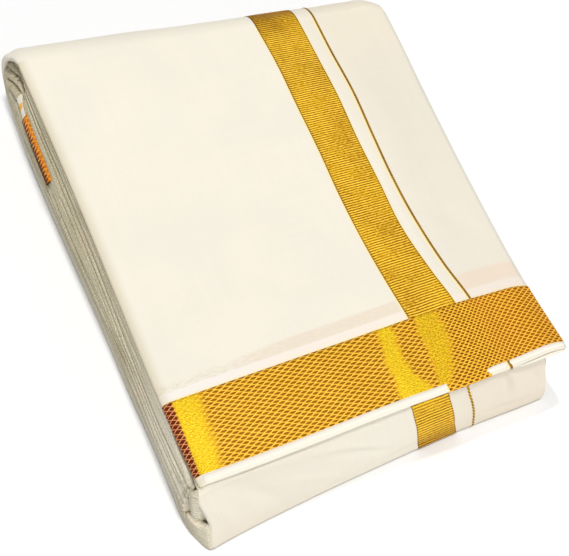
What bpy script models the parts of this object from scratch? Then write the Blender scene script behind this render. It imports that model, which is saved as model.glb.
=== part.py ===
"""Folded dhoti: one long cotton cloth with a woven gold border, folded into a flat bundle.

The outermost stretch of the cloth starts at the front edge of the top, runs back over the
bundle, turns round the back, lies flat underneath and comes up the front, where it tucks
in under its own edge.  Everything inside that wrap is one rounded stack of folded layers.
+X is to the right along the woven border, -Y is the front, +Z is up, z = 0 is the surface
it lies on.  Sizes in the tables are millimetres; the finished nodes are moved by CENTRE so
that the origin is the middle of the bundle's underside.
"""
import bpy
import numpy as np

# ---------------------------------------------------------------- driving sizes, mm
MM = 0.001
CLOTH = 1.2            # wall of one stretch of cloth
GAP = 0.3              # clearance between neighbours
ZARI = 0.6             # metallic weave standing on the cotton
LINE_WIDTH = 1.4       # the single thin gold line
LAP = 13.0             # length of the front stretch tucked under the top edge
TOE_RADIUS = 4.0       # bend at the foot of the front
CORNER_RADIUS = 12.0   # plan radius of the front's left foot
BROW_RADIUS = 4.5      # bend where the front goes under the flap
STACK_BOTTOM = CLOTH + GAP
CENTRE = (-0.84, 8.69, 0.0)   # middle of the bundle's underside in the tables' own frame


def table(names, rows):
    """Rows of numbers under named columns; the first column is the one read by."""
    return dict(zip(names.split(), (np.array(c, float) for c in zip(*rows))))


# Edges of the bundle at stations from front to back, and the height of its top.
OUTLINE = table("y top_left top_right low_left low_right high_left high_right", [
    (-122, -88.6, 92.2, -96.2, 83.5, 44.0, 46.5),
    (-80, -89.6, 91.0, -96.8, 84.5, 46.5, 46.3),
    (-20, -88.4, 91.2, -98.3, 86.5, 48.0, 45.6),
    (40, -88.2, 94.6, -100.3, 89.5, 50.0, 44.4),
    (90, -88.8, 98.2, -101.4, 93.0, 52.5, 42.4),
    (135, -91.0, 100.5, -101.7, 95.5, 54.0, 40.0),
])

# Lines that run from left to right: the woven border, the flap's edge, the front and back.
ACROSS = table("x border_back border_front flap_edge wall_top wall_foot back", [
    (-99, -81.2, -117.6, -121.4, -121.6, -137.0, 147.5),
    (-93, -81.2, -117.8, -121.6, -121.6, -136.6, 150.5),
    (-84, -81.3, -118.2, -122.0, -121.8, -134.6, 150.5),
    (-45, -81.6, -118.6, -122.2, -121.6, -128.8, 145.5),
    (0, -81.6, -118.0, -121.4, -120.9, -124.2, 138.0),
    (45, -81.2, -117.7, -120.8, -119.8, -120.8, 133.0),
    (80, -82.2, -116.4, -119.4, -118.4, -119.9, 126.5),
    (92, -82.6, -115.8, -118.6, -117.6, -119.2, 120.5),
    (101, -82.6, -115.6, -118.2, -117.4, -119.0, 108.0),
])

# The gold end band and the thin line beside it, wherever the wrap carries them.
BANDS_TOP = table("y band_left band_right line", [
    (-122, 31.4, 52.4, 62.2),
    (-100, 30.6, 53.2, 61.4),
    (-80, 29.4, 53.0, 60.4),
    (-60, 28.0, 50.2, 57.6),
    (-32, 27.0, 47.6, 55.7),
    (-4, 27.2, 48.6, 55.8),
    (24, 28.5, 49.4, 57.5),
    (54, 29.2, 51.3, 59.7),
    (84, 30.1, 51.8, 60.0),
    (110, 29.6, 52.2, 60.8),
    (150, 28.0, 50.8, 59.6),
])
BANDS_WRAP = table("turn band_left band_right line left right", [
    (0.00, 29.6, 52.2, 60.8, -90.5, 100.0),    # top of the back fold
    (0.22, 29.0, 51.8, 60.4, -96.0, 101.0),
    (0.45, 28.4, 50.8, 59.4, -99.5, 100.5),    # its furthest point
    (1.00, 27.0, 48.8, 57.4, -98.5, 95.0),     # foot of the back fold
    (2.00, 19.0, 39.0, 47.8, -91.6, 83.6),     # foot of the front
    (2.05, 19.0, 39.0, 47.8, -92.8, 84.2),
    (2.15, 18.8, 38.8, 47.8, -93.4, 84.7),
    (2.23, 18.2, 38.0, 47.4, -92.6, 84.8),
    (2.32, 17.6, 37.0, 47.0, -89.4, 84.8),
    (2.48, 16.8, 36.0, 45.8, -86.8, 84.2),
    (2.80, 13.8, 32.4, 41.8, -87.6, 82.2),     # under the flap's edge
    (3.20, 12.4, 31.0, 40.0, -86.0, 79.0),
])

# Fold ridges down the two sides of the inner stack: depth into the stack at a fraction of
# the way from its middle (0) to its outside (1).
RIDGES = table("fraction left_inset right_inset", [
    (0.07, 1.9, 1.6),
    (0.15, 0.6, 0.7),
    (0.24, 0.1, 0.3),
    (0.32, 1.9, 1.8),
    (0.40, 0.3, 0.4),
    (0.50, -0.3, 0.0),
    (0.57, 1.9, 1.9),
    (0.64, 0.2, 0.2),
    (0.74, -0.2, -0.2),
    (0.80, 1.7, 2.0),
    (0.86, 0.2, 0.3),
    (0.93, 0.3, 0.2),
    (0.98, 1.6, 1.6),
    (1.00, 4.0, 4.0),
])


def read(tab, column, at):
    """Smooth reading of one column (cubic through the rows), held level past the ends."""
    xs, ys = list(tab.values())[0], tab[column]
    slope = np.gradient(ys, xs)
    at = np.clip(np.asarray(at, float), xs[0], xs[-1])
    k = np.clip(np.searchsorted(xs, at, side="right") - 1, 0, len(xs) - 2)
    w = xs[k + 1] - xs[k]
    t = (at - xs[k]) / w
    return ((2*t**3 - 3*t**2 + 1) * ys[k] + (t**3 - 2*t**2 + t) * w * slope[k]
            + (-2*t**3 + 3*t**2) * ys[k + 1] + (t**3 - t**2) * w * slope[k + 1])


def ease(t):
    t = np.clip(t, 0.0, 1.0)
    return t * t * (3.0 - 2.0 * t)


# ---------------------------------------------------------------- the outside of the wrap
def top_height(x, y):
    """Outer face of the top stretch."""
    left, right = read(OUTLINE, "top_left", y), read(OUTLINE, "top_right", y)
    across = np.clip((x - left) / (right - left), 0.0, 1.0)
    high_left, high_right = read(OUTLINE, "high_left", y), read(OUTLINE, "high_right", y)
    height = high_left + (high_right - high_left) * across
    height = height + 1.6 * 4.0 * across * (1.0 - across)
    height = height - 2.2 * np.clip(1.0 - (x - left) / 6.5, 0.0, 1.0) ** 2
    height = height - 4.0 * np.clip(1.0 - (right - x) / 13.0, 0.0, 1.0) ** 2
    droop = ease((-88.0 - y) / 34.0) * (1.0 - across) ** 1.6
    return height - 1.6 * droop


def back_fold(x):
    """Middle, half length and half height of the bend at the back."""
    back = read(ACROSS, "back", x)
    half_height = 0.5 * top_height(x, back - 24.0)
    reach = 0.86 * half_height
    return back - reach, reach, half_height


def columns(left, right, band_left, band_right, line):
    """The grid's lines across the wrap; the bands' edges are always among them."""
    inner = left + 6.5
    edge = right - 13.0
    out = [left, left + 1.3, left + 3.4, inner]
    out += [inner + (band_left - inner) * f for f in (0.2, 0.4, 0.6, 0.8)]
    out += [band_left, 0.5 * (band_left + band_right), band_right,
            line - 0.5 * LINE_WIDTH, line + 0.5 * LINE_WIDTH]
    out += [line + (edge - line) * 0.5, edge, right - 8.0, right - 4.0, right - 1.4, right]
    return np.array(out)


BAND = slice(8, 11)
LINE = slice(11, 13)
COLUMNS = 19


def column_x_top(y):
    """x of each column where the top stretch has the given y (one y per column)."""
    return np.array([columns(*(float(read(OUTLINE, c, v)) for c in ("top_left", "top_right")),
                             *(float(read(BANDS_TOP, c, v)) for c in ("band_left", "band_right", "line")))[k]
                     for k, v in enumerate(y)])


def column_x_wrap(turn):
    names = ("left", "right", "band_left", "band_right", "line")
    return columns(*(float(read(BANDS_WRAP, c, turn)) for c in names))


def top_rows():
    """Rows from the flap's front edge to the start of the back fold."""
    guess = column_x_top(np.zeros(COLUMNS))
    front = {n: read(ACROSS, n, guess) for n in ("flap_edge", "border_front", "border_back")}
    depth = front["border_back"] - front["border_front"]
    rows = [front["flap_edge"], front["border_front"], front["border_front"] + 0.34 * depth,
            front["border_front"] + 0.67 * depth, front["border_back"], front["border_back"] + 12.5]
    start = rows[-1]
    end = back_fold(column_x_top(np.full(COLUMNS, 118.0)))[0]
    rows += [start + (end - start) * f for f in (0.12, 0.26, 0.4, 0.54, 0.68, 0.8, 0.9, 1.0)]
    grid = []
    for y in rows:
        x = column_x_top(y)
        grid.append(np.stack([x, y, top_height(x, y)], axis=1))
    return grid


def back_rows(last_top):
    """Rows round the back, after the top's last row and as far as the underside."""
    grid = []
    for f in np.linspace(0.0, 1.0, 9)[1:]:
        angle = np.pi * f
        x = column_x_wrap(f)
        x = x + (last_top[:, 0] - column_x_wrap(0.0)) * (1.0 - ease(f / 0.6))
        middle, reach, half = back_fold(x)
        grid.append(np.stack([x, middle + reach * np.sin(angle), half + half * np.cos(angle)], axis=1))
    return grid


def front_y(x, z):
    """Outer face of the front at a height."""
    top, foot = read(ACROSS, "wall_top", x), read(ACROSS, "wall_foot", x)
    t = np.clip(z / 41.0, 0.0, 1.0)
    return foot + (top - foot) * t - 1.1 * np.sin(np.pi * t)


def brow_height(x):
    """Where the tucked-in part of the front lies, just under the flap's second ply."""
    return top_height(x, read(ACROSS, "flap_edge", x) + 6.0) - 2.0 * (CLOTH + GAP) - 0.4


def corner_turn(x, z):
    """How far the front's left end is turned back: round the whole corner at its foot."""
    part = np.clip(1.0 - (x - x[0]) / CORNER_RADIUS, 0.0, 1.0)
    foot = CORNER_RADIUS * (1.0 - np.sqrt(1.0 - 0.985 * part * part))
    above = 3.4 * np.clip(1.0 - (x - x[0]) / 6.5, 0.0, 1.0) ** 3
    return above + (foot - above) * (1.0 - ease((z - 7.0) / 11.0))


def front_rows():
    """Rows from the foot of the front, up the wall and back in under the flap."""
    grid = []
    steps = [("toe", 0.0), ("toe", 0.35), ("toe", 0.7), ("toe", 1.0),
             ("wall", 0.12), ("wall", 0.26), ("wall", 0.5), ("wall", 0.75),
             ("brow", 0.0), ("brow", 0.4), ("brow", 0.75), ("brow", 1.0), ("lap", 1.0)]
    for kind, f in steps:
        turn = {"toe": 2.0 + 0.15 * f, "wall": 2.15 + 0.65 * f, "brow": 2.8 + 0.25 * f,
                "lap": 3.2}[kind]
        x = column_x_wrap(turn)
        brow = brow_height(x)
        low, high = TOE_RADIUS, brow - BROW_RADIUS
        if kind == "toe":
            a = 0.5 * np.pi * f
            z = np.full(COLUMNS, TOE_RADIUS * (1.0 - np.cos(a)))
            y = front_y(x, low) + TOE_RADIUS * (1.0 - np.sin(a))
        elif kind == "wall":
            z = low + (high - low) * f
            y = front_y(x, z)
        elif kind == "brow":
            a = 0.5 * np.pi * f
            z = high + BROW_RADIUS * np.sin(a)
            y = front_y(x, high) + BROW_RADIUS * (1.0 - np.cos(a))
        else:
            y = front_y(x, high) + BROW_RADIUS + LAP
            z = brow + top_height(x, y) - top_height(x, front_y(x, high) + BROW_RADIUS)
        y = y + corner_turn(x, z)
        grid.append(np.stack([x, y, z], axis=1))
    return grid


def under_rows(foot_of_back, foot_of_front):
    """Flat rows underneath, between the back fold and the foot of the front."""
    grid = []
    for f in (0.2, 0.42, 0.64, 0.86):
        y = foot_of_back[:, 1] + (foot_of_front[:, 1] - foot_of_back[:, 1]) * f
        bands = [float(read(BANDS_WRAP, c, 1.0 + f)) for c in ("band_left", "band_right", "line")]
        left, right = float(read(OUTLINE, "low_left", y[0])) + 2.5, float(read(OUTLINE, "low_right", y[-1]))
        grid.append(np.stack([columns(left, right, *bands), y, np.zeros(COLUMNS)], axis=1))
    return grid


class Wrap:
    """The whole outer wrap as one grid of points, with the rows where its stretches meet."""

    def __init__(self):
        top = top_rows()
        back = back_rows(top[-1])
        front = front_rows()
        under = under_rows(back[-1], front[0])
        self.grid = np.array(top + back + under + front)
        self.top_end = len(top) - 1
        self.back_end = self.top_end + len(back)
        self.under_end = self.back_end + len(under) + 1
        self.last = len(self.grid) - 1
        self.normal = normals(self.grid)

    def stretch(self, first, last, cols=slice(None)):
        """Points and normals of some rows, half a gap short of the neighbours at each seam."""
        part, normal = self.grid[first:last + 1, cols].copy(), self.normal[first:last + 1, cols]
        for end, inner in ((0, 1), (-1, -2)):
            way = part[inner] - part[end]
            part[end] += way / np.linalg.norm(way, axis=1, keepdims=True) * (0.5 * GAP + 0.02)
        return part, normal


# ---------------------------------------------------------------- meshes
def normals(grid):
    """Unit normals of a grid of points, rows x columns."""
    def tangent(points, axis):
        step = np.diff(points, axis=axis)
        step = step / np.linalg.norm(step, axis=2, keepdims=True)
        first, last = np.take(step, [0], axis=axis), np.take(step, [-1], axis=axis)
        both = np.concatenate([first, step], axis=axis) + np.concatenate([step, last], axis=axis)
        return both / np.linalg.norm(both, axis=2, keepdims=True)

    n = np.cross(tangent(grid, 1), tangent(grid, 0))
    return n / np.linalg.norm(n, axis=2, keepdims=True)


def add_object(name, points, faces, colour, roughness, metallic=0.0):
    mesh = bpy.data.meshes.new(name)
    placed = (np.asarray(points, float) - CENTRE) * MM
    mesh.from_pydata([tuple(float(c) for c in p) for p in placed], [], faces)
    mesh.validate()
    mesh.update()
    mesh.shade_smooth()
    mesh.set_sharp_from_angle(angle=0.9)
    material = bpy.data.materials.new(name)
    material.use_nodes = True
    shader = material.node_tree.nodes["Principled BSDF"]
    shader.inputs["Base Color"].default_value = (*colour, 1.0)
    shader.inputs["Roughness"].default_value = roughness
    shader.inputs["Metallic"].default_value = metallic
    mesh.materials.append(material)
    obj = bpy.data.objects.new(name, mesh)
    bpy.context.scene.collection.objects.link(obj)
    return obj


def wall(name, outer, inner, look):
    """A closed wall between two grids of points; the outer one faces out."""
    rows, cols = outer.shape[:2]
    points = np.concatenate([outer.reshape(-1, 3), inner.reshape(-1, 3)])
    n = rows * cols

    def at(r, c, side):
        return side * n + r * cols + c

    faces = []
    for r in range(rows - 1):
        for c in range(cols - 1):
            quad = (at(r, c, 0), at(r, c + 1, 0), at(r + 1, c + 1, 0), at(r + 1, c, 0))
            faces += [(quad[0], quad[1], quad[2]), (quad[0], quad[2], quad[3])]
            back = [i + n for i in quad]
            faces += [(back[0], back[2], back[1]), (back[0], back[3], back[2])]
    loop = ([(0, c) for c in range(cols)] + [(r, cols - 1) for r in range(1, rows)]
            + [(rows - 1, c) for c in range(cols - 2, -1, -1)] + [(r, 0) for r in range(rows - 2, 0, -1)])
    for i, (r, c) in enumerate(loop):
        r2, c2 = loop[(i + 1) % len(loop)]
        faces += [(at(r, c, 1), at(r2, c2, 1), at(r2, c2, 0)),
                  (at(r, c, 1), at(r2, c2, 0), at(r, c, 0))]
    return add_object(name, points, faces, *look)


def stretch(name, part, look):
    """A wall of cloth under its outer face."""
    grid, normal = part
    wall(name, grid, grid - normal * CLOTH, look)


def overlay(name, part, look):
    """Woven metal standing on part of a stretch, made from that stretch's own points."""
    grid, normal = part
    wall(name, grid + normal * (GAP + ZARI), grid + normal * GAP, look)


# ---------------------------------------------------------------- the inner stack
def stack_contour(x):
    """Outline of the inner stack in a lengthwise section: bottom, back, top, front.

    x has one value for each of the STACK_POINTS points, so that the outline follows the
    wrap where the stack's sides bulge.
    """
    clear = CLOTH + GAP + 0.15
    middle, reach, half = back_fold(x)
    brow = brow_height(x) - clear - 0.2
    corner = ease((x + 84.0) / 24.0)
    foot = front_y(x, 8.0) + clear
    foot = foot * corner - 118.5 * (1.0 - corner)
    lap_end = front_y(x, 38.0) + BROW_RADIUS + LAP
    y, z = np.zeros(STACK_POINTS), np.zeros(STACK_POINTS)
    k = 0
    for f in np.linspace(0.0, 1.0, 8):                       # underneath
        start = foot[k] + 7.0
        y[k], z[k] = start + (middle[k] - start) * f, STACK_BOTTOM
        k += 1
    for f in np.linspace(0.0, 1.0, 9)[1:-1]:                 # round the back
        a = np.pi * (1.0 - f)
        y[k] = middle[k] + (reach[k] - clear - 1.2) * np.sin(a)
        z[k] = half[k] + (half[k] - clear - 0.3) * np.cos(a)
        k += 1
    for f in (0.0, 0.14, 0.3, 0.46, 0.62, 0.78, 0.92, 1.0):  # under the top stretch
        start = lap_end[k] + 17.0
        y[k] = middle[k] + (start - middle[k]) * f
        z[k] = top_height(x[k], y[k]) - clear
        k += 1
    for past, layers in ((8.0, 3), (1.5, 4)):                # stepping down under the flap
        y[k] = lap_end[k] + past
        z[k] = top_height(x[k], y[k]) - layers * (CLOTH + GAP) + (0.0 if layers == 3 else 0.8) - 0.2
        k += 1
    height = brow - STACK_BOTTOM
    for back, z_k in ((7.0, brow), (2.0, brow - 3.5), (0.0, STACK_BOTTOM + 0.78 * height),
                      (0.0, STACK_BOTTOM + 0.55 * height), (0.0, STACK_BOTTOM + 0.3 * height),
                      (2.0, brow * 0.0 + STACK_BOTTOM + 3.0)):   # down the front
        lean = (front_y(x[k], z_k[k]) - front_y(x[k], 8.0)) * corner[k]
        y[k], z[k] = foot[k] + back + max(float(lean), 0.0), z_k[k]
        k += 1
    return np.column_stack([y, z])


INNER_BORDER = (0.24, 0.32, 0.40)
STACK_POINTS = 8 + 7 + 8 + 2 + 2 + 3 + 1


def stack_ring(x, fraction):
    """The contour drawn in towards the stack's middle line."""
    outline = stack_contour(x)
    low, high = outline[:, 1].min(), outline[:, 1].max()
    mid_z = low + 0.46 * (high - low)
    front, back = outline[:, 0].min(), outline[:, 0].max()
    mid_y = np.clip(outline[:, 0], front + 0.45 * high, back - 0.5 * high)
    out = outline.copy()
    out[:, 0] = mid_y + (outline[:, 0] - mid_y) * fraction
    out[:, 1] = mid_z + (outline[:, 1] - mid_z) * fraction
    return out


def stack_side(yz, side):
    """x of the stack's side at points of a lengthwise section."""
    y, z = yz[:, 0], yz[:, 1]
    tall = read(OUTLINE, "high_left", y)
    drop = ease((1.0 - z / tall) / 0.62)
    foot = np.clip(1.0 - z / 7.0, 0.0, 1.0) ** 2
    if side < 0:
        top, low = read(OUTLINE, "top_left", y) + 1.4, read(OUTLINE, "low_left", y)
        return top + (low - top) * drop + 2.0 * foot
    top, low = read(OUTLINE, "top_right", y) - 9.5, read(OUTLINE, "low_right", y) + 0.3
    return top + (low - top) * drop - 2.0 * foot


def side_patch(y_from, y_to, fractions, rows=6):
    """Points on the left side of the stack, between two ridges' fractions of its height."""
    grid = []
    for y in np.linspace(y_from, y_to, rows):
        row = []
        for f in fractions:
            x = -95.0
            for _ in range(4):
                outline = stack_contour(np.full(STACK_POINTS, x))
                low, high = outline[:, 1].min(), outline[:, 1].max()
                mid_z = low + 0.46 * (high - low)
                z = mid_z + (float(top_height(x, y)) - CLOTH - GAP - 0.15 - mid_z) * f
                inset = float(np.interp(f, RIDGES["fraction"], RIDGES["left_inset"]))
                x = float(stack_side(np.array([[y, z]]), -1)[0]) + inset
            row.append((x, y, z))
        grid.append(row)
    grid = np.array(grid)
    return grid, normals(grid)


def side_ring(side, fraction, inset):
    """One ring of the stack's side: the contour is read where the side itself lies."""
    x = np.full(STACK_POINTS, side * 82.0)
    for _ in range(3):
        yz = stack_ring(x, fraction)
        x = stack_side(yz, side) - side * inset
    return np.column_stack([x, stack_ring(x, fraction)])


def stack():
    rings = []
    for f, inset in zip(RIDGES["fraction"], RIDGES["left_inset"]):
        rings.append(side_ring(-1, f, inset))
    for x in (-76.0, -62.0, -45.0, -20.0, 5.0, 30.0, 52.0, 66.0, 76.0):
        x = np.full(STACK_POINTS, x)
        rings.append(np.column_stack([x, stack_ring(x, 1.0)]))
    for f, inset in zip(RIDGES["fraction"][::-1], RIDGES["right_inset"][::-1]):
        rings.append(side_ring(+1, f, inset))
    points = np.concatenate(rings)
    n = len(rings[0])
    faces = []
    for k in range(len(rings) - 1):
        for i in range(n):
            j = (i + 1) % n
            a, b, c, d = k * n + i, k * n + j, (k + 1) * n + j, (k + 1) * n + i
            faces += [(a, b, c), (a, c, d)]
    # close both ends by zipping the ring's lower run to its upper run, front to back
    for ring, flip in ((0, True), (len(rings) - 1, False)):
        base = ring * n
        y = rings[ring][:, 1]
        i, j = 0, n - 1
        while j - i > 1:
            if y[i + 1] <= y[j - 1]:
                tri = (base + i, base + i + 1, base + j)
                i += 1
            else:
                tri = (base + i, base + j - 1, base + j)
                j -= 1
            faces.append(tri[::-1] if flip else tri)
    return points, faces


# ---------------------------------------------------------------- build
COTTON = ((0.90, 0.86, 0.76), 0.85)
LAYERS = ((0.80, 0.76, 0.64), 0.9)
GOLD = ((0.85, 0.56, 0.10), 0.42, 0.6)


def main():
    for obj in list(bpy.data.objects):
        bpy.data.objects.remove(obj, do_unlink=True)

    wrap = Wrap()
    stretch("top_panel", wrap.stretch(0, wrap.top_end), COTTON)
    stretch("back_fold", wrap.stretch(wrap.top_end, wrap.back_end), COTTON)
    stretch("underside_panel", wrap.stretch(wrap.back_end, wrap.under_end), COTTON)
    stretch("front_fold", wrap.stretch(wrap.under_end, wrap.last), COTTON)

    grid, normal = wrap.stretch(0, 3, slice(1, COLUMNS))
    grid = grid - normal * (CLOTH + GAP)
    grid[:, :, 1] += 0.9
    stretch("flap_second_ply", (grid, normal), COTTON)

    overlay("zari_border", wrap.stretch(1, 4), GOLD)
    for name, cols in (("end_band", BAND), ("end_line", LINE)):
        overlay(name + "_top", wrap.stretch(4, wrap.top_end, cols), GOLD)
        overlay(name + "_back", wrap.stretch(wrap.top_end, wrap.top_end + 6, cols), GOLD)
        overlay(name + "_front", wrap.stretch(wrap.under_end + 2, wrap.under_end + 8, cols), GOLD)

    overlay("inner_border_fold", side_patch(69.0, 112.0, INNER_BORDER), GOLD)
    overlay("inner_selvedge_fold", side_patch(112.5, 120.0, INNER_BORDER, rows=2), COTTON)

    points, faces = stack()
    add_object("inner_folds", points, faces, *LAYERS)


main()
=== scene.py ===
"""Looks of the folded dhoti: cotton wrap, layered sides and woven gold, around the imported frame.

The wrap's tables and formulas follow those of the solids, read on a much finer grid; a few of its
edges are drawn a millimetre or three closer to how the cloth lies.  Sizes in tables are
millimetres in the tables' own frame; CENTRE moves them to the object's frame.
"""
import math
import bpy
import mathutils
import numpy as np
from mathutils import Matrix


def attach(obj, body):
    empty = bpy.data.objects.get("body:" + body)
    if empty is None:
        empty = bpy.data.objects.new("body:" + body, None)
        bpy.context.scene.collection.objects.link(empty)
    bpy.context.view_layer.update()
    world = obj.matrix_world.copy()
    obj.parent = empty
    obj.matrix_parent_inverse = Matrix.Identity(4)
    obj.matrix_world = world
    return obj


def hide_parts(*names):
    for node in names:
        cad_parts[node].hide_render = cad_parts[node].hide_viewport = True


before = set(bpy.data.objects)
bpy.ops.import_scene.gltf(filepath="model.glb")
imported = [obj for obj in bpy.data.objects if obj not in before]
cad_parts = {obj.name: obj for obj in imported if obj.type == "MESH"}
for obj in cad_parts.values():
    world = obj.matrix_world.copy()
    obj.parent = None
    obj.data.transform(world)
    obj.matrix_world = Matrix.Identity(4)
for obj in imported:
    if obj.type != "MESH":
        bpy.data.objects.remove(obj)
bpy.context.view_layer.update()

MM = 0.001
CENTRE = np.array((-0.84, 8.69, 0.0))
CLOTH = 1.2
GAP = 0.3
LINE_WIDTH = 1.4
LAP = 13.0
TOE_RADIUS = 2.6
CORNER_RADIUS = 12.0
BROW_RADIUS = 4.5
STACK_BOTTOM = CLOTH + GAP

PLY = 0.9            # thickness of the cloth as it shows at its edges
ROLL = 1.7           # radius of the folds that run along both edges of the wrap


# ================================================================ tables
def table(names, rows):
    """Rows of numbers under named columns; the first column is the one read by."""
    return dict(zip(names.split(), (np.array(c, float) for c in zip(*rows))))


OUTLINE = table("y top_left top_right low_left low_right high_left high_right", [
    (-122, -88.8, 92.8, -95.7, 83.5, 44.0, 46.5),
    (-80, -90.9, 91.0, -96.2, 84.5, 46.5, 46.3),
    (-20, -91.4, 92.6, -97.6, 86.5, 48.0, 45.6),
    (40, -91.8, 96.1, -99.6, 89.5, 50.0, 44.4),
    (90, -92.9, 100.2, -100.9, 93.0, 52.5, 42.4),
    (135, -94.0, 102.6, -101.5, 95.5, 54.0, 40.6),
])
ACROSS = table("x border_back border_front flap_edge wall_top wall_foot back", [
    (-99, -81.2, -117.6, -121.4, -121.6, -137.0, 151.0),
    (-93, -81.2, -117.8, -121.6, -121.6, -136.6, 152.4),
    (-84, -81.3, -118.2, -122.0, -121.8, -134.6, 151.2),
    (-45, -81.6, -118.6, -122.2, -121.6, -128.8, 145.5),
    (0, -81.6, -118.0, -121.4, -120.9, -124.2, 137.4),
    (45, -81.2, -117.7, -120.8, -119.8, -120.8, 131.0),
    (80, -82.2, -116.4, -119.4, -118.4, -119.9, 126.2),
    (92, -82.6, -115.8, -118.6, -117.6, -119.2, 124.6),
    (101, -82.6, -115.6, -118.2, -117.4, -119.0, 120.5),
])
BANDS_TOP = table("y band_left band_right line", [
    (-122, 31.4, 52.4, 62.2),
    (-100, 30.6, 53.2, 61.4),
    (-80, 29.4, 53.0, 60.4),
    (-60, 28.0, 50.2, 57.6),
    (-32, 27.0, 47.6, 55.7),
    (-4, 27.2, 48.6, 55.8),
    (24, 28.5, 49.4, 57.5),
    (54, 29.2, 51.3, 59.7),
    (84, 30.1, 51.8, 60.0),
    (110, 29.6, 52.2, 60.8),
    (150, 28.0, 50.8, 59.6),
])
BANDS_WRAP = table("turn band_left band_right line left right", [
    (0.00, 29.6, 52.2, 60.8, -93.8, 102.3),
    (0.22, 29.0, 51.8, 60.4, -97.6, 102.2),
    (0.45, 28.4, 50.8, 59.4, -99.8, 101.0),
    (1.00, 27.0, 48.8, 57.4, -98.5, 95.0),
    (2.00, 19.0, 39.0, 47.8, -88.6, 84.0),
    (2.05, 19.0, 39.0, 47.8, -88.8, 85.0),
    (2.15, 18.8, 38.8, 47.8, -88.8, 86.0),
    (2.23, 18.2, 38.0, 47.4, -88.6, 86.1),
    (2.32, 17.6, 37.0, 47.0, -88.0, 85.7),
    (2.42, 17.1, 36.4, 46.3, -87.2, 84.9),
    (2.54, 16.3, 35.3, 45.1, -88.0, 83.8),
    (2.65, 15.2, 34.1, 43.7, -89.1, 83.1),
    (2.76, 14.2, 32.8, 42.3, -90.2, 82.4),
    (2.84, 13.6, 32.2, 41.6, -90.3, 82.0),
    (3.05, 12.8, 31.4, 40.5, -89.4, 80.4),
    (3.20, 12.4, 31.0, 40.0, -88.0, 79.0),
])


def read(tab, column, at):
    """Smooth reading of one column (cubic through the rows), held level past the ends."""
    xs, ys = list(tab.values())[0], tab[column]
    slope = np.gradient(ys, xs)
    at = np.clip(np.asarray(at, float), xs[0], xs[-1])
    k = np.clip(np.searchsorted(xs, at, side="right") - 1, 0, len(xs) - 2)
    w = xs[k + 1] - xs[k]
    t = (at - xs[k]) / w
    return ((2*t**3 - 3*t**2 + 1) * ys[k] + (t**3 - 2*t**2 + t) * w * slope[k]
            + (-2*t**3 + 3*t**2) * ys[k + 1] + (t**3 - t**2) * w * slope[k + 1])


def ease(t):
    t = np.clip(t, 0.0, 1.0)
    return t * t * (3.0 - 2.0 * t)


def noise1(x, seed):
    """Smooth noise from -1 to 1 with a feature about every unit of x."""
    rng = np.random.default_rng(seed)
    values = rng.uniform(-1, 1, 512)
    x = np.asarray(x, float) + 100.0
    i = np.floor(x).astype(int)
    t = x - i
    t = t * t * (3 - 2 * t)
    return values[i % 512] * (1 - t) + values[(i + 1) % 512] * t


def noise2(x, y, seed):
    """Smooth two-dimensional noise from -1 to 1."""
    rng = np.random.default_rng(seed)
    values = rng.uniform(-1, 1, (256, 256))
    x, y = np.asarray(x, float) + 60.0, np.asarray(y, float) + 60.0
    i, j = np.floor(x).astype(int), np.floor(y).astype(int)
    s, t = x - i, y - j
    s, t = s * s * (3 - 2 * s), t * t * (3 - 2 * t)
    a, b = values[i % 256, j % 256], values[(i + 1) % 256, j % 256]
    c, d = values[i % 256, (j + 1) % 256], values[(i + 1) % 256, (j + 1) % 256]
    return (a * (1 - s) + b * s) * (1 - t) + (c * (1 - s) + d * s) * t


# ================================================================ the wrap
def top_height(x, y):
    left, right = read(OUTLINE, "top_left", y), read(OUTLINE, "top_right", y)
    across = np.clip((x - left) / (right - left), 0.0, 1.0)
    high_left, high_right = read(OUTLINE, "high_left", y), read(OUTLINE, "high_right", y)
    height = high_left + (high_right - high_left) * across
    height = height + 1.6 * 4.0 * across * (1.0 - across)
    height = height - 2.2 * np.clip(1.0 - (x - left) / 6.5, 0.0, 1.0) ** 2
    height = height - 4.0 * np.clip(1.0 - (right - x) / 13.0, 0.0, 1.0) ** 2
    droop = ease((-88.0 - y) / 34.0) * (1.0 - across) ** 1.6
    return height - 1.6 * droop


def back_fold(x):
    back = read(ACROSS, "back", x)
    half_height = 0.5 * top_height(x, back - 24.0)
    reach = 0.86 * half_height
    return back - reach, reach, half_height


def front_y(x, z):
    top, foot = read(ACROSS, "wall_top", x), read(ACROSS, "wall_foot", x)
    t = np.clip(z / 41.0, 0.0, 1.0)
    return foot + (top - foot) * t - 1.1 * np.sin(np.pi * t)


def brow_height(x):
    return top_height(x, read(ACROSS, "flap_edge", x) + 6.0) - 2.0 * (CLOTH + GAP) - 0.4


def corner_turn(x, left, z):
    foot = 1.6 * np.clip(1.0 - (x - left) / 3.0, 0.0, 1.0) ** 2
    above = 0.8 * np.clip(1.0 - (x - left) / 4.0, 0.0, 1.0) ** 2
    return above + (foot - above) * (1.0 - ease((z - 10.0) / 9.0))


def key_columns(left, right, band_left, band_right, line, roll):
    """The named lines across the wrap, from its left fold to its right one."""
    left, right = left + roll, right - roll
    inner, edge = left + 6.5, right - 13.0
    out = [left, left + 1.3, left + 3.4, inner]
    out += [inner + (band_left - inner) * f for f in (0.2, 0.4, 0.6, 0.8)]
    out += [band_left, 0.5 * (band_left + band_right), band_right,
            line - 0.5 * LINE_WIDTH, line + 0.5 * LINE_WIDTH]
    out += [line + (edge - line) * 0.5, edge, right - 8.0, right - 4.0, right - 1.4, right]
    return np.stack(np.broadcast_arrays(*out), axis=-1)


def column_params(steps):
    return np.concatenate([[0.0]] + [k + np.linspace(0, 1, n + 1)[1:] for k, n in enumerate(steps)])


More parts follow.
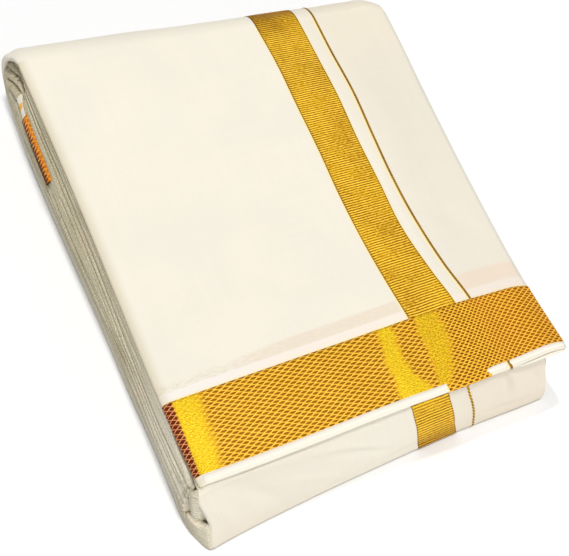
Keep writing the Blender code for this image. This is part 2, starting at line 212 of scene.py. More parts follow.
C = column_params((3, 4, 4, 16, 16, 16, 16, 16, 9, 9, 7, 2, 7, 7, 4, 5, 4, 3))


def pick(keys, c):
    """From key columns, one value for each column; keys has one row, or one for each column."""
    i = np.minimum(np.floor(c).astype(int), keys.shape[-1] - 2)
    t = c - i
    if keys.ndim == 2:
        n = np.arange(len(c))
        return keys[n, i] * (1 - t) + keys[n, i + 1] * t
    return keys[i] * (1 - t) + keys[i + 1] * t


def x_top(y, c):
    """x of each column where the top stretch has the given y (one y per column)."""
    keys = key_columns(read(OUTLINE, "top_left", y), read(OUTLINE, "top_right", y),
                       read(BANDS_TOP, "band_left", y), read(BANDS_TOP, "band_right", y),
                       read(BANDS_TOP, "line", y), ROLL)
    return pick(keys, c)


def wrap_ends(turn):
    return [float(read(BANDS_WRAP, n, turn)) for n in ("left", "right", "band_left", "band_right", "line")]


def x_wrap(turn, c):
    return pick(key_columns(*wrap_ends(turn), ROLL), c)


def spread(a, b, n):
    return [a + (b - a) * f for f in np.linspace(0, 1, n + 1)]


DENSITY = {"selvedge": 5, "border": 30, "stripe": 12, "field": 140, "back": 48, "under": 92,
           "toe": 10, "wall": 38, "brow": 8, "lap": 5}


class Wrap:
    """The wrap as a grid of points for some columns, with normals, cloth coordinates and seams."""

    def __init__(self, c=C, density=DENSITY):
        self.c = c
        n = len(c)
        rows = []
        guess = x_top(np.zeros(n), c)
        flap, bf, bb = (read(ACROSS, k, guess) for k in ("flap_edge", "border_front", "border_back"))
        end = back_fold(x_top(np.full(n, 118.0), c))[0]
        ys = spread(flap, bf, density["selvedge"])[:-1] + spread(bf, bb, density["border"])[:-1]
        ys += spread(bb, bb + 15.0, density["stripe"])[:-1] + spread(bb + 15.0, end, density["field"])
        self.border = (density["selvedge"], density["selvedge"] + density["border"])
        for y in ys:
            x = x_top(y, c)
            rows.append(np.stack([x, y, top_height(x, y) + crease_field(x, y, CREASES_TOP)], 1))
        self.top_end = len(rows) - 1
        last = rows[-1]
        for f in np.linspace(0, 1, density["back"] + 1)[1:]:
            a = np.pi * f
            x = x_wrap(f, c)
            x = x + (last[:, 0] - x_wrap(0.0, c)) * (1.0 - ease(f / 0.6))
            middle, reach, half = back_fold(x)
            out = crease_field(x, np.full(n, 78.0 * f), CREASES_BACK) * ease(f / 0.15) * ease((1 - f) / 0.2)
            rows.append(np.stack([x, middle + (reach + out) * np.sin(a), half + (half + 0.5 * out) * np.cos(a)], 1))
        self.back_end = len(rows) - 1
        foot_back = rows[-1]
        front = []
        steps = [("toe", f) for f in np.linspace(0, 1, density["toe"] + 1)]
        steps += [("wall", f) for f in np.linspace(0, 1, density["wall"] + 1)[1:]]
        steps += [("brow", f) for f in np.linspace(0, 1, density["brow"] + 1)[1:]]
        steps += [("lap", f) for f in np.linspace(0, 1, density["lap"] + 1)[1:]]
        for kind, f in steps:
            turn = {"toe": 2.0 + 0.15 * f, "wall": 2.15 + 0.65 * f, "brow": 2.8 + 0.25 * f,
                    "lap": 3.05 + 0.15 * f}[kind]
            x = x_wrap(turn, c)
            brow = brow_height(x)
            low, high = TOE_RADIUS, brow - BROW_RADIUS
            if kind == "toe":
                a = 0.5 * np.pi * f
                z = np.full(n, TOE_RADIUS * (1.0 - np.cos(a)))
                y = front_y(x, low) + TOE_RADIUS * (1.0 - np.sin(a))
            elif kind == "wall":
                z = low + (high - low) * f
                y = front_y(x, z)
            elif kind == "brow":
                a = 0.5 * np.pi * f
                z = high + BROW_RADIUS * np.sin(a)
                y = front_y(x, high) + BROW_RADIUS * (1.0 - np.cos(a))
            else:
                y = front_y(x, high) + BROW_RADIUS + LAP * f
                z = brow + top_height(x, y) - top_height(x, front_y(x, high) + BROW_RADIUS)
            y = y + corner_turn(x, wrap_ends(turn)[0], z)
            y = y - crease_field(x, z, CREASES_FRONT) * ease((z - 1.0) / 4.0)
            front.append(np.stack([x, y, z], 1))
        for f in np.linspace(0, 1, density["under"])[1:-1]:
            y = foot_back[:, 1] + (front[0][:, 1] - foot_back[:, 1]) * f
            bands = [float(read(BANDS_WRAP, k, 1.0 + f)) for k in ("band_left", "band_right", "line")]
            left = float(read(OUTLINE, "low_left", y[0])) + 2.5
            right = float(read(OUTLINE, "low_right", y[-1]))
            ends = ease(f / 0.12) * ease((1 - f) / 0.12)
            x = pick(key_columns(left, right, *bands, ROLL), c)
            plain = foot_back[:, 0] + (front[0][:, 0] - foot_back[:, 0]) * f
            rows.append(np.stack([x * ends + plain * (1 - ends), y, np.zeros(n)], 1))
        self.under_end = len(rows)
        self.foot_end = self.under_end + density["toe"]
        self.wall_end = self.foot_end + density["wall"]
        rows += front
        self.grid = np.array(rows)
        self.last = len(rows) - 1
        self.normal = grid_normals(self.grid)
        self.across = arc(self.grid, 1)
        self.across = self.across - self.across[:, [int(np.argmin(np.abs(c - 8.0)))]]
        self.along = arc(self.grid, 0)

    def part(self, first, last, cols=slice(None)):
        s = slice(first, last + 1)
        return (self.grid[s, cols], self.normal[s, cols],
                np.stack([self.across[s, cols], self.along[s, cols]], -1) * MM)


def rolled(grid, normal, uv, side, radius, turn, flange=(), grows=0):
    """Adds columns at one edge (side -1 first, +1 last) that bend round and back under."""
    edge, inner = (0, 1) if side < 0 else (-1, -2)
    radius = np.asarray(radius, float).reshape(-1, 1) * np.ones((len(grid), 1))
    p, n = grid[:, edge], normal[:, edge]
    t = unit(p - grid[:, inner])
    t = unit(t - n * (t * n).sum(-1, keepdims=True))
    cols, norms, far = [], [], []
    steps = max(3, int(round(turn / 22.0)))
    for a in np.radians(np.linspace(0, turn, steps + 1)[1:]):
        cols.append(p + t * radius * math.sin(a) - n * radius * (1 - math.cos(a)))
        norms.append(unit(n * math.cos(a) + t * math.sin(a)))
        far.append(radius * a)
    a = math.radians(turn)
    for d in flange:
        cols.append(cols[steps - 1] + d * (t * math.cos(a) - n * math.sin(a)))
        norms.append(norms[steps - 1])
        far.append(radius * a + d)
    grow = np.eye(2)[grows] * side * MM
    extra_uv = [uv[:, edge] + f * grow for f in far]
    cols, norms, extra_uv = np.stack(cols, 1), np.stack(norms, 1), np.stack(extra_uv, 1)
    if side < 0:
        return (np.concatenate([cols[:, ::-1], grid], 1), np.concatenate([norms[:, ::-1], normal], 1),
                np.concatenate([extra_uv[:, ::-1], uv], 1))
    return (np.concatenate([grid, cols], 1), np.concatenate([normal, norms], 1),
            np.concatenate([uv, extra_uv], 1))


def unit(v):
    return v / np.maximum(np.linalg.norm(v, axis=-1, keepdims=True), 1e-12)


def grid_normals(grid):
    """Unit normals of a grid of points, rows x columns."""
    def tangent(axis):
        step = unit(np.diff(grid, axis=axis))
        first, last = np.take(step, [0], axis=axis), np.take(step, [-1], axis=axis)
        return unit(np.concatenate([first, step], axis=axis) + np.concatenate([step, last], axis=axis))
    return unit(np.cross(tangent(1), tangent(0)))


def arc(grid, axis):
    step = np.linalg.norm(np.diff(grid, axis=axis), axis=2)
    out = np.cumsum(step, axis=axis)
    return np.concatenate([np.zeros_like(np.take(out, [0], axis=axis)), out], axis=axis)


# ---------------------------------------------------------------- creases placed one by one
# A soft ridge (+) or trough (-) along a straight or bowed line between two places.
CREASES_TOP = table("x1 y1 x2 y2 bow width height", [
    (-84, 96, -60, -30, 5.0, 7.0, -0.35),
    (-80, 60, -74, -66, 2.0, 5.0, 0.30),
    (-58, 118, -20, 60, -4.0, 9.0, 0.30),
    (-46, 30, 10, -20, 5.0, 11.0, -0.28),
    (-30, -44, 22, -62, -3.0, 8.0, 0.26),
    (66, 96, 76, 10, 4.0, 6.0, -0.95),
    (74, 30, 79, -62, -2.0, 5.5, 0.80),
    (84, 84, 86, 4, 2.0, 4.0, -0.85),
    (60, -20, 82, -58, 3.0, 5.0, -0.65),
    (-66, -88, -58, -116, 1.0, 5.0, -0.30),
    (-20, -84, -8, -119, 2.0, 6.0, 0.28),
    (13, -84, 15, -118, -2.5, 4.0, 0.45),
    (24, -88, 22, -116, 1.5, 3.5, -0.35),
    (68, -84, 66, -117, 1.5, 4.0, -0.40),
])
CREASES_BACK = table("x1 s1 x2 s2 bow width height", [
    (-80, 14, -40, 18, 2.0, 5.0, -0.40),
    (-62, 30, 8, 26, 3.0, 6.0, 0.45),
    (-30, 44, 30, 40, -3.0, 5.0, -0.35),
    (2, 16, 20, 40, 2.0, 5.0, 0.30),
    (66, 12, 74, 58, 3.0, 4.0, -0.60),
    (80, 24, 92, 62, -2.0, 5.0, 0.50),
    (-84, 40, -72, 66, 2.0, 4.0, -0.45),
    (-50, 58, 20, 62, 2.0, 4.0, 0.35),
])
CREASES_FRONT = table("x1 z1 x2 z2 bow width height", [
    (58.8, 43, 63.6, 21, 1.4, 1.4, -1.10),
    (61.6, 41, 67.0, 19, 1.4, 2.2, 0.70),
    (53.4, 42, 50.6, 30, 0.4, 1.6, 0.60),
    (-34, 35, -2, 20, 3.0, 2.4, 0.75),
    (-30, 28, 4, 13, 2.0, 2.6, -0.60),
    (-8, 43, -2, 38, 0.5, 1.3, -0.70),
    (-70, 31, -52, 10, 2.0, 4.0, -0.70),
    (-60, 37, -28, 33, 1.0, 3.0, 0.55),
    (-46, 22, -20, 8, 1.5, 3.0, 0.45),
    (2, 8, 30, 5, 0.6, 2.0, -0.35),
    (-82, 26, -76, 8, 1.0, 2.4, 0.45),
    (52, 12, 78, 8, -0.8, 2.2, -0.40),
    (-48, 6, -16, 9, 1.0, 2.0, 0.30),
    (72, 36, 80, 22, 0.6, 2.2, -0.40),
])


def crease_field(u, v, tab):
    """Height of the listed creases at places (u, v)."""
    total = np.zeros_like(u)
    names = list(tab)
    for x1, y1, x2, y2, bow, width, height in zip(*(tab[n] for n in names)):
        dx, dy = x2 - x1, y2 - y1
        long = math.hypot(dx, dy)
        t = ((u - x1) * dx + (v - y1) * dy) / long ** 2
        off = ((u - x1) * -dy + (v - y1) * dx) / long
        tc = np.clip(t, 0, 1)
        off = off - bow * 4 * tc * (1 - tc)
        beyond = np.maximum(np.abs(t - 0.5) - 0.5, 0) * long
        fade = np.exp(-(beyond / (1.5 * width)) ** 2) * (0.35 + 0.65 * np.sin(np.pi * np.clip(t, 0.02, 0.98)))
        total += height * fade * np.exp(-(off / width) ** 2)
    return total


# ================================================================ meshes
def make_mesh(name, verts, quads, uv=None, attrs=None, normals=None, tris=None):
    """A mesh object from arrays in millimetres (table frame); uv and attrs go by vertex."""
    verts = (np.asarray(verts, float) - CENTRE) * MM
    mesh = bpy.data.meshes.new(name)
    faces = [np.asarray(quads, np.int32).reshape(-1, 4)]
    count = len(faces[0])
    tri = np.zeros((0, 3), np.int32) if tris is None else np.asarray(tris, np.int32).reshape(-1, 3)
    mesh.vertices.add(len(verts))
    mesh.vertices.foreach_set("co", verts.astype(np.float32).ravel())
    loops = np.concatenate([faces[0].ravel(), tri.ravel()])
    mesh.loops.add(len(loops))
    mesh.loops.foreach_set("vertex_index", loops)
    mesh.polygons.add(count + len(tri))
    starts = np.concatenate([np.arange(count) * 4, count * 4 + np.arange(len(tri)) * 3])
    mesh.polygons.foreach_set("loop_start", starts.astype(np.int32))
    if uv is not None:
        for layer_name, values in uv.items():
            layer = mesh.uv_layers.new(name=layer_name)
            layer.data.foreach_set("uv", np.asarray(values, np.float32)[loops].ravel())
    for key, values in (attrs or {}).items():
        a = mesh.attributes.new(key, "FLOAT", "POINT")
        a.data.foreach_set("value", np.asarray(values, np.float32).ravel())
    mesh.update(calc_edges=True)
    mesh.validate()
    mesh.shade_smooth()
    if normals is not None:
        mesh.normals_split_custom_set_from_vertices([tuple(n) for n in normals])
    obj = bpy.data.objects.new(name, mesh)
    bpy.context.scene.collection.objects.link(obj)
    return obj


def grid_quads(rows, cols, base=0, flip=False):
    r, c = np.meshgrid(np.arange(rows - 1), np.arange(cols - 1), indexing="ij")
    a = base + r * cols + c
    q = np.stack([a, a + 1, a + cols + 1, a + cols], -1).reshape(-1, 4)
    return q[:, ::-1] if flip else q


def shell(name, outer, inner, normal, uv, attrs=None, bulge=(0.0, 0.0, 0.0, 0.0)):
    """A closed sheet between two grids of points; bulge rounds its first row, last column,
    last row and first column, in millimetres."""
    rows, cols = outer.shape[:2]
    n = rows * cols
    loop = np.array([(0, c) for c in range(cols)] + [(r, cols - 1) for r in range(1, rows)]
                    + [(rows - 1, c) for c in range(cols - 2, -1, -1)]
                    + [(r, 0) for r in range(rows - 2, 0, -1)])
    at = loop[:, 0] * cols + loop[:, 1]
    reach = np.zeros(len(at))
    for hit, size in ((loop[:, 0] == 0, bulge[0]), (loop[:, 1] == cols - 1, bulge[1]),
                      (loop[:, 0] == rows - 1, bulge[2]), (loop[:, 1] == 0, bulge[3])):
        reach = np.maximum(reach, hit * size)
    edge, below = outer.reshape(-1, 3)[at], inner.reshape(-1, 3)[at]
    along = unit(np.roll(edge, -1, 0) - np.roll(edge, 1, 0))
    out = unit(np.cross(along, normal.reshape(-1, 3)[at]))
    mid = 0.5 * (edge + below) + reach[:, None] * out
    verts = np.concatenate([outer.reshape(-1, 3), inner.reshape(-1, 3), mid])
    k = np.arange(len(at))
    k2 = (k + 1) % len(at)
    quads = np.concatenate([
        grid_quads(rows, cols), grid_quads(rows, cols, n, flip=True),
        np.stack([at[k], 2 * n + k, 2 * n + k2, at[k2]], 1),
        np.stack([2 * n + k, n + at[k], n + at[k2], 2 * n + k2], 1)])
    full = {key: np.concatenate([v.reshape(n, 2), v.reshape(n, 2), v.reshape(n, 2)[at]]) for key, v in uv.items()}
    extra = {key: np.concatenate([v.ravel(), v.ravel(), v.ravel()[at]]) for key, v in (attrs or {}).items()}
    normals = np.concatenate([normal.reshape(-1, 3), -normal.reshape(-1, 3), out])
    return make_mesh(name, verts, quads, full, extra, normals)


# ================================================================ the folded layers inside
RING = 31            # points in the outline of the stack


def stack_contour(x):
    """Outline of the inner stack in a lengthwise section, as in the solids."""
    clear = CLOTH + GAP + 0.15
    middle, reach, half = back_fold(x)
    brow = brow_height(x) - clear - 0.2
    corner = ease((x + 84.0) / 24.0)
    foot = front_y(x, 8.0) + clear
    foot = foot * corner - 118.5 * (1.0 - corner)
    lap_end = front_y(x, 38.0) + BROW_RADIUS + LAP
    y, z = np.zeros(RING), np.zeros(RING)
    k = 0
    for f in np.linspace(0.0, 1.0, 8):
        start = foot[k] + 7.0
        y[k], z[k] = start + (middle[k] - start) * f, STACK_BOTTOM
        k += 1
    for f in np.linspace(0.0, 1.0, 9)[1:-1]:
        a = np.pi * (1.0 - f)
        y[k] = middle[k] + (reach[k] - clear - 1.2) * np.sin(a)
        z[k] = half[k] + (half[k] - clear - 0.3) * np.cos(a)
        k += 1
    for f in (0.0, 0.14, 0.3, 0.46, 0.62, 0.78, 0.92, 1.0):
        start = lap_end[k] + 17.0
        y[k] = middle[k] + (start - middle[k]) * f
        z[k] = top_height(x[k], y[k]) - clear
        k += 1
    for past, layers in ((8.0, 3), (1.5, 4)):
        y[k] = lap_end[k] + past
        z[k] = top_height(x[k], y[k]) - layers * (CLOTH + GAP) + (0.0 if layers == 3 else 0.8) - 0.2
        k += 1
    height = brow - STACK_BOTTOM
    for back, z_k in ((7.0, brow), (2.0, brow - 3.5), (0.0, STACK_BOTTOM + 0.78 * height),
                      (0.0, STACK_BOTTOM + 0.55 * height), (0.0, STACK_BOTTOM + 0.3 * height),
                      (2.0, brow * 0.0 + STACK_BOTTOM + 3.0)):
        lean = (front_y(x[k], z_k[k]) - front_y(x[k], 8.0)) * corner[k]
        y[k], z[k] = foot[k] + back + max(float(lean), 0.0), z_k[k]
        k += 1
    return np.column_stack([y, z])


def stack_ring(x, fraction):
    outline = stack_contour(x)
    low, high = outline[:, 1].min(), outline[:, 1].max()
    mid_z = low + 0.46 * (high - low)
    front, back = outline[:, 0].min(), outline[:, 0].max()
    mid_y = np.clip(outline[:, 0], front + 0.45 * high, back - 0.5 * high)
    out = outline.copy()
    out[:, 0] = mid_y + (outline[:, 0] - mid_y) * fraction
    out[:, 1] = mid_z + (outline[:, 1] - mid_z) * fraction
    return out


def stack_side(yz, side):
    y, z = yz[:, 0], yz[:, 1]
    tall = read(OUTLINE, "high_left", y)
    drop = ease((1.0 - z / tall) / 0.62)
    foot = np.clip(1.0 - z / 7.0, 0.0, 1.0) ** 2
    if side < 0:
        top, low = read(OUTLINE, "top_left", y) + 1.4, read(OUTLINE, "low_left", y) + 0.5
        return top + (low - top) * drop + 1.3 * np.clip(1.0 - z / 4.0, 0.0, 1.0) ** 2
    top, low = read(OUTLINE, "top_right", y) - 9.5, read(OUTLINE, "low_right", y) + 0.3
    return top + (low - top) * drop - 2.0 * foot


def side_ring(side, fraction):
    x = np.full(RING, side * 82.0)
    for _ in range(3):
        yz = stack_ring(x, fraction)
        x = stack_side(yz, side)
    return np.column_stack([x, stack_ring(x, fraction)])


# Grooves between the folded layers, seen from the side: the height of each at stations from
# front to back, how deep and wide it is, and how far its ends stay from the stack's ends.
LEFT_GROOVES = table("front back z_100 z_60 z_0 z60 z120 depth width", [
    # the outer pass under the top: one broad smooth fold with faint plies
    (-119, 140, 41.0, 42.2, 43.0, 46.0, 48.6, 0.22, 0.50),
    (-119, 141, 37.6, 38.6, 40.0, 43.0, 45.6, 0.35, 0.45),
    (-60, 139, 33.6, 34.6, 37.2, 40.2, 43.2, 0.25, 0.40),
    (-119, 138, 30.2, 31.8, 35.4, 39.0, 42.0, 1.70, 0.75),
    # tight plies below it
    (-119, 136, 27.4, 28.8, 32.2, 35.6, 40.0, 1.00, 0.55),
    (-119, 60, 25.0, 26.2, 29.6, 31.6, 33.0, 0.75, 0.50),
    (-88, 18, 22.9, 23.8, 26.6, 28.0, 29.0, 0.45, 0.42),
    (-119, 128, 20.6, 21.6, 24.0, 25.8, 31.2, 1.50, 0.70),
    # the lower passes
    (-40, 122, 18.4, 19.2, 20.6, 22.4, 26.4, 0.55, 0.45),
    (-119, 110, 16.2, 16.8, 17.6, 18.8, 21.2, 0.85, 0.55),
    (-119, 134, 12.8, 13.2, 13.8, 14.6, 16.0, 0.60, 0.45),
    (-119, 138, 9.6, 9.9, 10.2, 10.8, 11.4, 1.35, 0.65),
    (-90, 70, 7.4, 7.4, 7.6, 7.8, 8.2, 0.35, 0.40),
    (-119, 139, 5.2, 5.2, 5.3, 5.4, 5.6, 0.65, 0.45),
    (-119, 120, 3.2, 3.2, 3.2, 3.2, 3.4, 0.45, 0.40),
])
RIGHT_GROOVES = table("front back z_100 z_60 z_0 z60 z120 depth width", [
    (-108, 118, 41.4, 41.0, 40.4, 39.6, 37.0, 0.35, 0.50),
    (-100, 60, 38.4, 38.2, 37.8, 37.0, 35.2, 0.30, 0.45),
    (-112, 122, 35.0, 34.6, 34.2, 33.4, 32.0, 1.55, 0.75),
    (-108, 118, 32.2, 31.6, 31.0, 30.6, 29.4, 0.55, 0.45),
    (-60, 100, 29.4, 29.2, 28.2, 28.0, 27.0, 0.45, 0.45),
    (-108, 116, 26.4, 26.0, 25.6, 24.8, 24.0, 1.25, 0.65),
    (-104, 40, 23.6, 23.4, 22.6, 22.2, 21.6, 0.50, 0.42),
    (-104, 112, 21.0, 20.8, 20.2, 19.8, 19.6, 0.85, 0.55),
    (-106, 112, 18.0, 17.4, 17.2, 16.8, 16.4, 0.60, 0.45),
    (-70, 80, 15.6, 15.4, 15.2, 14.6, 14.4, 0.35, 0.40),
    (-110, 118, 13.0, 12.6, 12.4, 12.4, 12.6, 1.35, 0.65),
    (-110, 110, 9.8, 9.8, 9.6, 9.6, 9.8, 0.45, 0.45),
    (-112, 119, 7.0, 7.0, 6.8, 6.8, 7.0, 0.75, 0.50),
    (-112, 116, 4.4, 4.4, 4.4, 4.4, 4.6, 0.50, 0.42),
])
# short pleats where the layers turn round the back, left side: (y, z) points, depth, width
PLEATS = [
    (((121, 40.9), (130, 39.8), (138, 36.9), (149, 32.6)), 1.9, 0.95),
    (((118, 37.6), (126, 36.6), (134, 33.2), (142, 29.0)), 1.7, 0.80),
    (((124, 43.6), (134, 43.2), (143, 40.2), (150, 36.0)), 1.1, 0.60),
    (((113, 30.0), (120, 29.4), (128, 28.2), (137, 25.6)), 1.2, 0.60),
    (((127, 46.4), (137, 46.6), (146, 43.6)), 0.8, 0.50),
]
STATIONS = (-100.0, -60.0, 0.0, 60.0, 120.0)
MIDDLE = {-1: 22.0, 1: 21.0}


def groove_lines(tab, side):
    """Each groove as a fine polyline in (y, z): level with its pass, then bent round both ends."""
    out = []
    names = ["z_100", "z_60", "z_0", "z60", "z120"]
    for k in range(len(tab["front"])):
        heights = [tab[n][k] for n in names]
        front, back = tab["front"][k], tab["back"][k]
        y = np.linspace(front, back, 90)
        order = np.argsort(STATIONS)
        z = np.interp(y, np.array(STATIONS)[order], np.array(heights)[order])
        kernel = np.ones(15) / 15
        padded = np.concatenate([np.full(7, z[0]), z, np.full(7, z[-1])])
        z = np.convolve(padded, kernel, "valid")
        mid = MIDDLE[side] + (1.5 if side < 0 else -1.0) * (y > 60)
        # near each end the pass turns towards the middle of the stack
        for end, sign in ((front, 1.0), (back, -1.0)):
            if side < 0 and sign > 0:
                continue
            near = np.clip(1.0 - sign * (y - end) / (0.55 * abs(z.mean() - MIDDLE[side]) + 2.0), 0.0, 1.0)
            z = z + (mid - z) * (1.0 - np.sqrt(1.0 - 0.96 * near ** 2))
        z = z + 0.22 * noise1(y / 16.0, 40 + k + 30 * side) + 0.10 * noise1(y / 5.0, 90 + k)
        strength = 0.72 + 0.34 * noise1(y / 24.0, 140 + k + 30 * side)
        taper = ease((y - front) / 9.0) * ease((back - y) / 9.0)
        if side < 0:
            taper = ease((back - y) / 9.0)
        out.append((y, z, tab["depth"][k] * strength * (0.25 + 0.75 * taper), tab["width"][k]))
    if side < 0:
        for points, depth, width in PLEATS:
            ys, zs = (np.array(c) for c in zip(*points))
            y = np.linspace(ys[0], ys[-1], 60)
            z = np.interp(y, ys, zs)
            out.append((y, z, depth * np.sin(np.pi * np.linspace(0.08, 0.92, 60)) ** 0.5, width))
    return out


def layered(y, z, lines):
    """How far the side stands out at (y, z): rounded plies between sunk grooves."""
    shape = y.shape
    y, z = y.ravel(), z.ravel()
    nearest = np.full(y.shape, 9.0)
    sunk = np.zeros_like(y)
    for ly, lz, depth, width in lines:
        a, b = np.column_stack([ly[:-1], lz[:-1]]), np.column_stack([ly[1:], lz[1:]])
        # only the stretch of the groove beside each point matters
        i = np.clip(np.searchsorted(ly, y) - 1, 0, len(ly) - 2)
        best = np.full(y.shape, 1e9)
        d_at = np.zeros_like(y)
        for shift in (-3, -2, -1, 0, 1, 2, 3):
            j = np.clip(i + shift, 0, len(ly) - 2)
            p, q = a[j], b[j]
            step = q - p
            t = np.clip(((y - p[:, 0]) * step[:, 0] + (z - p[:, 1]) * step[:, 1])
                        / np.maximum((step ** 2).sum(1), 1e-9), 0, 1)
            d = np.hypot(y - p[:, 0] - t * step[:, 0], z - p[:, 1] - t * step[:, 1])
            take = d < best
            best[take] = d[take]
            d_at[take] = (depth[j] * (1 - t) + depth[j + 1] * t)[take]
        weight = np.clip(d_at / 0.5, 0.0, 1.0)
        nearest = np.minimum(nearest, best + (1 - weight) * 3.0)
        sunk += d_at * np.exp(-(best / width) ** 1.6)
    bulge = 0.75 * (1.0 - np.exp(-(nearest / 1.7) ** 1.4))
    return (bulge - sunk).reshape(shape), nearest.reshape(shape)


def ring_samples(ring, spacing):
    """Where to read a closed ring of points: segment and place in it, about evenly spaced."""
    step = np.linalg.norm(np.roll(ring, -1, 0) - ring, axis=1)
    seg, t = [], []
    for i, length in enumerate(step):
        n = max(2, int(round(length / spacing)))
        seg += [i] * n
        t += list(np.arange(n) / n)
    return np.array(seg), np.array(t)


def read_ring(ring, samples):
    """Catmull-Rom reading of a closed ring (centripetal enough for these even points)."""
    seg, t = samples
    n = len(ring)
    p0, p1, p2, p3 = (ring[(seg + k) % n] for k in (-1, 0, 1, 2))
    l1 = np.linalg.norm(p2 - p1, axis=1, keepdims=True)
    l0 = np.linalg.norm(p1 - p0, axis=1, keepdims=True)
    l2 = np.linalg.norm(p3 - p2, axis=1, keepdims=True)
    m1 = (p2 - p0) / (l0 + l1) * l1
    m2 = (p3 - p1) / (l1 + l2) * l1
    t = t[:, None]
    return ((2*t**3 - 3*t**2 + 1) * p1 + (t**3 - 2*t**2 + t) * m1
            + (-2*t**3 + 3*t**2) * p2 + (t**3 - t**2) * m2)


LINES = {-1: groove_lines(LEFT_GROOVES, -1), 1: groove_lines(RIGHT_GROOVES, 1)}


def side_relief(y, z, side):
    """Displacement of the side and the closeness to a groove, from 0 on a ply to 1 in one."""
    d, near = layered(y, z, LINES[side])
    # threads and small plies along the fold
    fine = noise2(y / 34.0, z / 0.85 + 0.6 * noise1(y / 30.0, 7), 11 + side) * 0.10
    fine += noise2(y / 60.0, z / 0.45, 17 + side) * 0.05
    swell = 0.35 * noise2(y / 46.0, z / 11.0, 23 + side)
    d = d + fine + swell
    if side < 0:   # a pocket between two layers near the back, and the corner at the front
        d = d - 2.2 * np.exp(-((y - 128.5) / 4.2) ** 2 - ((z - 34.6 + 0.35 * (y - 128.5)) / 1.5) ** 2)
        d = d - 0.9 * ease((y - 104.0) / 34.0) - 0.4
    return d, np.clip(1.0 - near / 0.9, 0, 1)


def side_point(side, y, z, lift=0.0):
    """Points on the finished side surface at (y, z)."""
    x = stack_side(np.stack([y.ravel(), z.ravel()], 1), side).reshape(y.shape)
    d, _ = side_relief(y, z, side)
    return np.stack([x + side * (d + lift), y, z], -1)


def build_layers():
    """The stack of folded layers: fine layered sides, a plain middle, and an inner face."""
    base = side_ring(-1, 1.0)
    samples = ring_samples(base, 1.7)
    m = len(samples[0])
    fractions = np.concatenate([np.linspace(0.035, 0.90, 104), np.linspace(0.90, 1.0, 15)[1:]])
    rings, near = [], []

    def one(side, f):
        ring = read_ring(side_ring(side, f), samples)
        d, n = side_relief(ring[:, 1], ring[:, 2], side)
        inset = 3.4 * ease((f - 0.93) / 0.07) ** 1.5
        ring[:, 0] += side * (d * (1.0 - ease((f - 0.955) / 0.045)) - inset)
        return ring, n

    for f in fractions:
        r, n = one(-1, f)
        rings.append(r)
        near.append(n)
    for x in (-80.0, -76.0, -70.0, -60.0, -40.0, -15.0, 10.0, 35.0, 55.0, 66.0, 72.0):
        ring = read_ring(np.column_stack([np.full(RING, x), stack_ring(np.full(RING, x), 1.0)]), samples)
        rings.append(ring)
        near.append(np.zeros(m))
    for f in fractions[::-1]:
        r, n = one(1, f)
        rings.append(r)
        near.append(n)
    rings, near = np.array(rings), np.array(near)
    count = len(rings)
    k, i = np.meshgrid(np.arange(count - 1), np.arange(m), indexing="ij")
    j = (i + 1) % m
    quads = np.stack([k * m + i, k * m + j, (k + 1) * m + j, (k + 1) * m + i], -1).reshape(-1, 4)
    tris = []

    def cap(base_index, ring, flip):
        """Close a ring by zipping its lower run to its upper run, front to back."""
        order = ring[:, 1]
        front = int(np.argmin(order))
        idx = (np.arange(m) + front) % m
        y = order[idx]
        a, b = 0, m - 1
        while b - a > 1:
            if y[a + 1] <= y[b - 1]:
                tri = (idx[a], idx[a + 1], idx[b])
                a += 1
            else:
                tri = (idx[a], idx[b - 1], idx[b])
                b -= 1
            tri = tuple(base_index + int(v) for v in tri)
            tris.append(tri[::-1] if flip else tri)

    cap(0, rings[0], True)
    cap((count - 1) * m, rings[-1], False)
    verts = rings.reshape(-1, 3)
    # the inner face: the same form drawn in by a cloth's thickness, plain and coarse
    inner = []
    for side, order in ((-1, (0.06, 0.5, 0.86, 0.93)), (1, (0.93, 0.86, 0.5, 0.06))):
        if side > 0:
            for x in (-60.0, 0.0, 60.0):
                inner.append(np.column_stack([np.full(RING, x), stack_ring(np.full(RING, x), 0.93)]))
        for f in order:
            r = side_ring(side, f)
            r[:, 0] -= side * (3.2 if f < 0.9 else 7.0)
            inner.append(r)
    inner = np.array(inner)
    start, c2 = len(verts), len(inner)
    k, i = np.meshgrid(np.arange(c2 - 1), np.arange(RING), indexing="ij")
    j = (i + 1) % RING
    back = start + np.stack([k * RING + i, (k + 1) * RING + i, (k + 1) * RING + j, k * RING + j], -1).reshape(-1, 4)
    for base_index, ring, flip in ((start, inner[0], False), (start + (c2 - 1) * RING, inner[-1], True)):
        y = ring[:, 1]
        a, b = 0, RING - 1
        while b - a > 1:
            if y[a + 1] <= y[b - 1]:
                tri = (base_index + a, base_index + a + 1, base_index + b)
                a += 1
            else:
                tri = (base_index + a, base_index + b - 1, base_index + b)
                b -= 1
            tris.append(tri[::-1] if flip else tri)
    verts = np.concatenate([verts, inner.reshape(-1, 3)])
    quads = np.concatenate([quads, back])
    # cloth coordinates: along the bundle, and round its section across the layers
    across = np.cumsum(np.linalg.norm(np.diff(rings, axis=0, prepend=rings[:1]), axis=2), axis=0)
    uv = np.concatenate([np.stack([rings[..., 1], across], -1).reshape(-1, 2),
                         inner.reshape(-1, 3)[:, [1, 2]]]) * MM
    # painted shade: dark in the grooves between plies, and a little darker over the whole side towards the back
    groove = np.concatenate([near.ravel(), np.zeros(c2 * RING)])
    groove = np.minimum(groove + 0.26 * ease((verts[:, 1] - 60.0) / 40.0), 1.0)
    # painted light: the side drawn paler low down and towards the front
    low = np.maximum(ease((19.0 - verts[:, 2]) / 13.0) * 0.80, ease((-30.0 - verts[:, 1]) / 62.0) * 0.56)
    return make_mesh("folded_layers", verts, quads, {"Cloth": uv}, {"groove": groove, "painted_light": low}, None, tris)


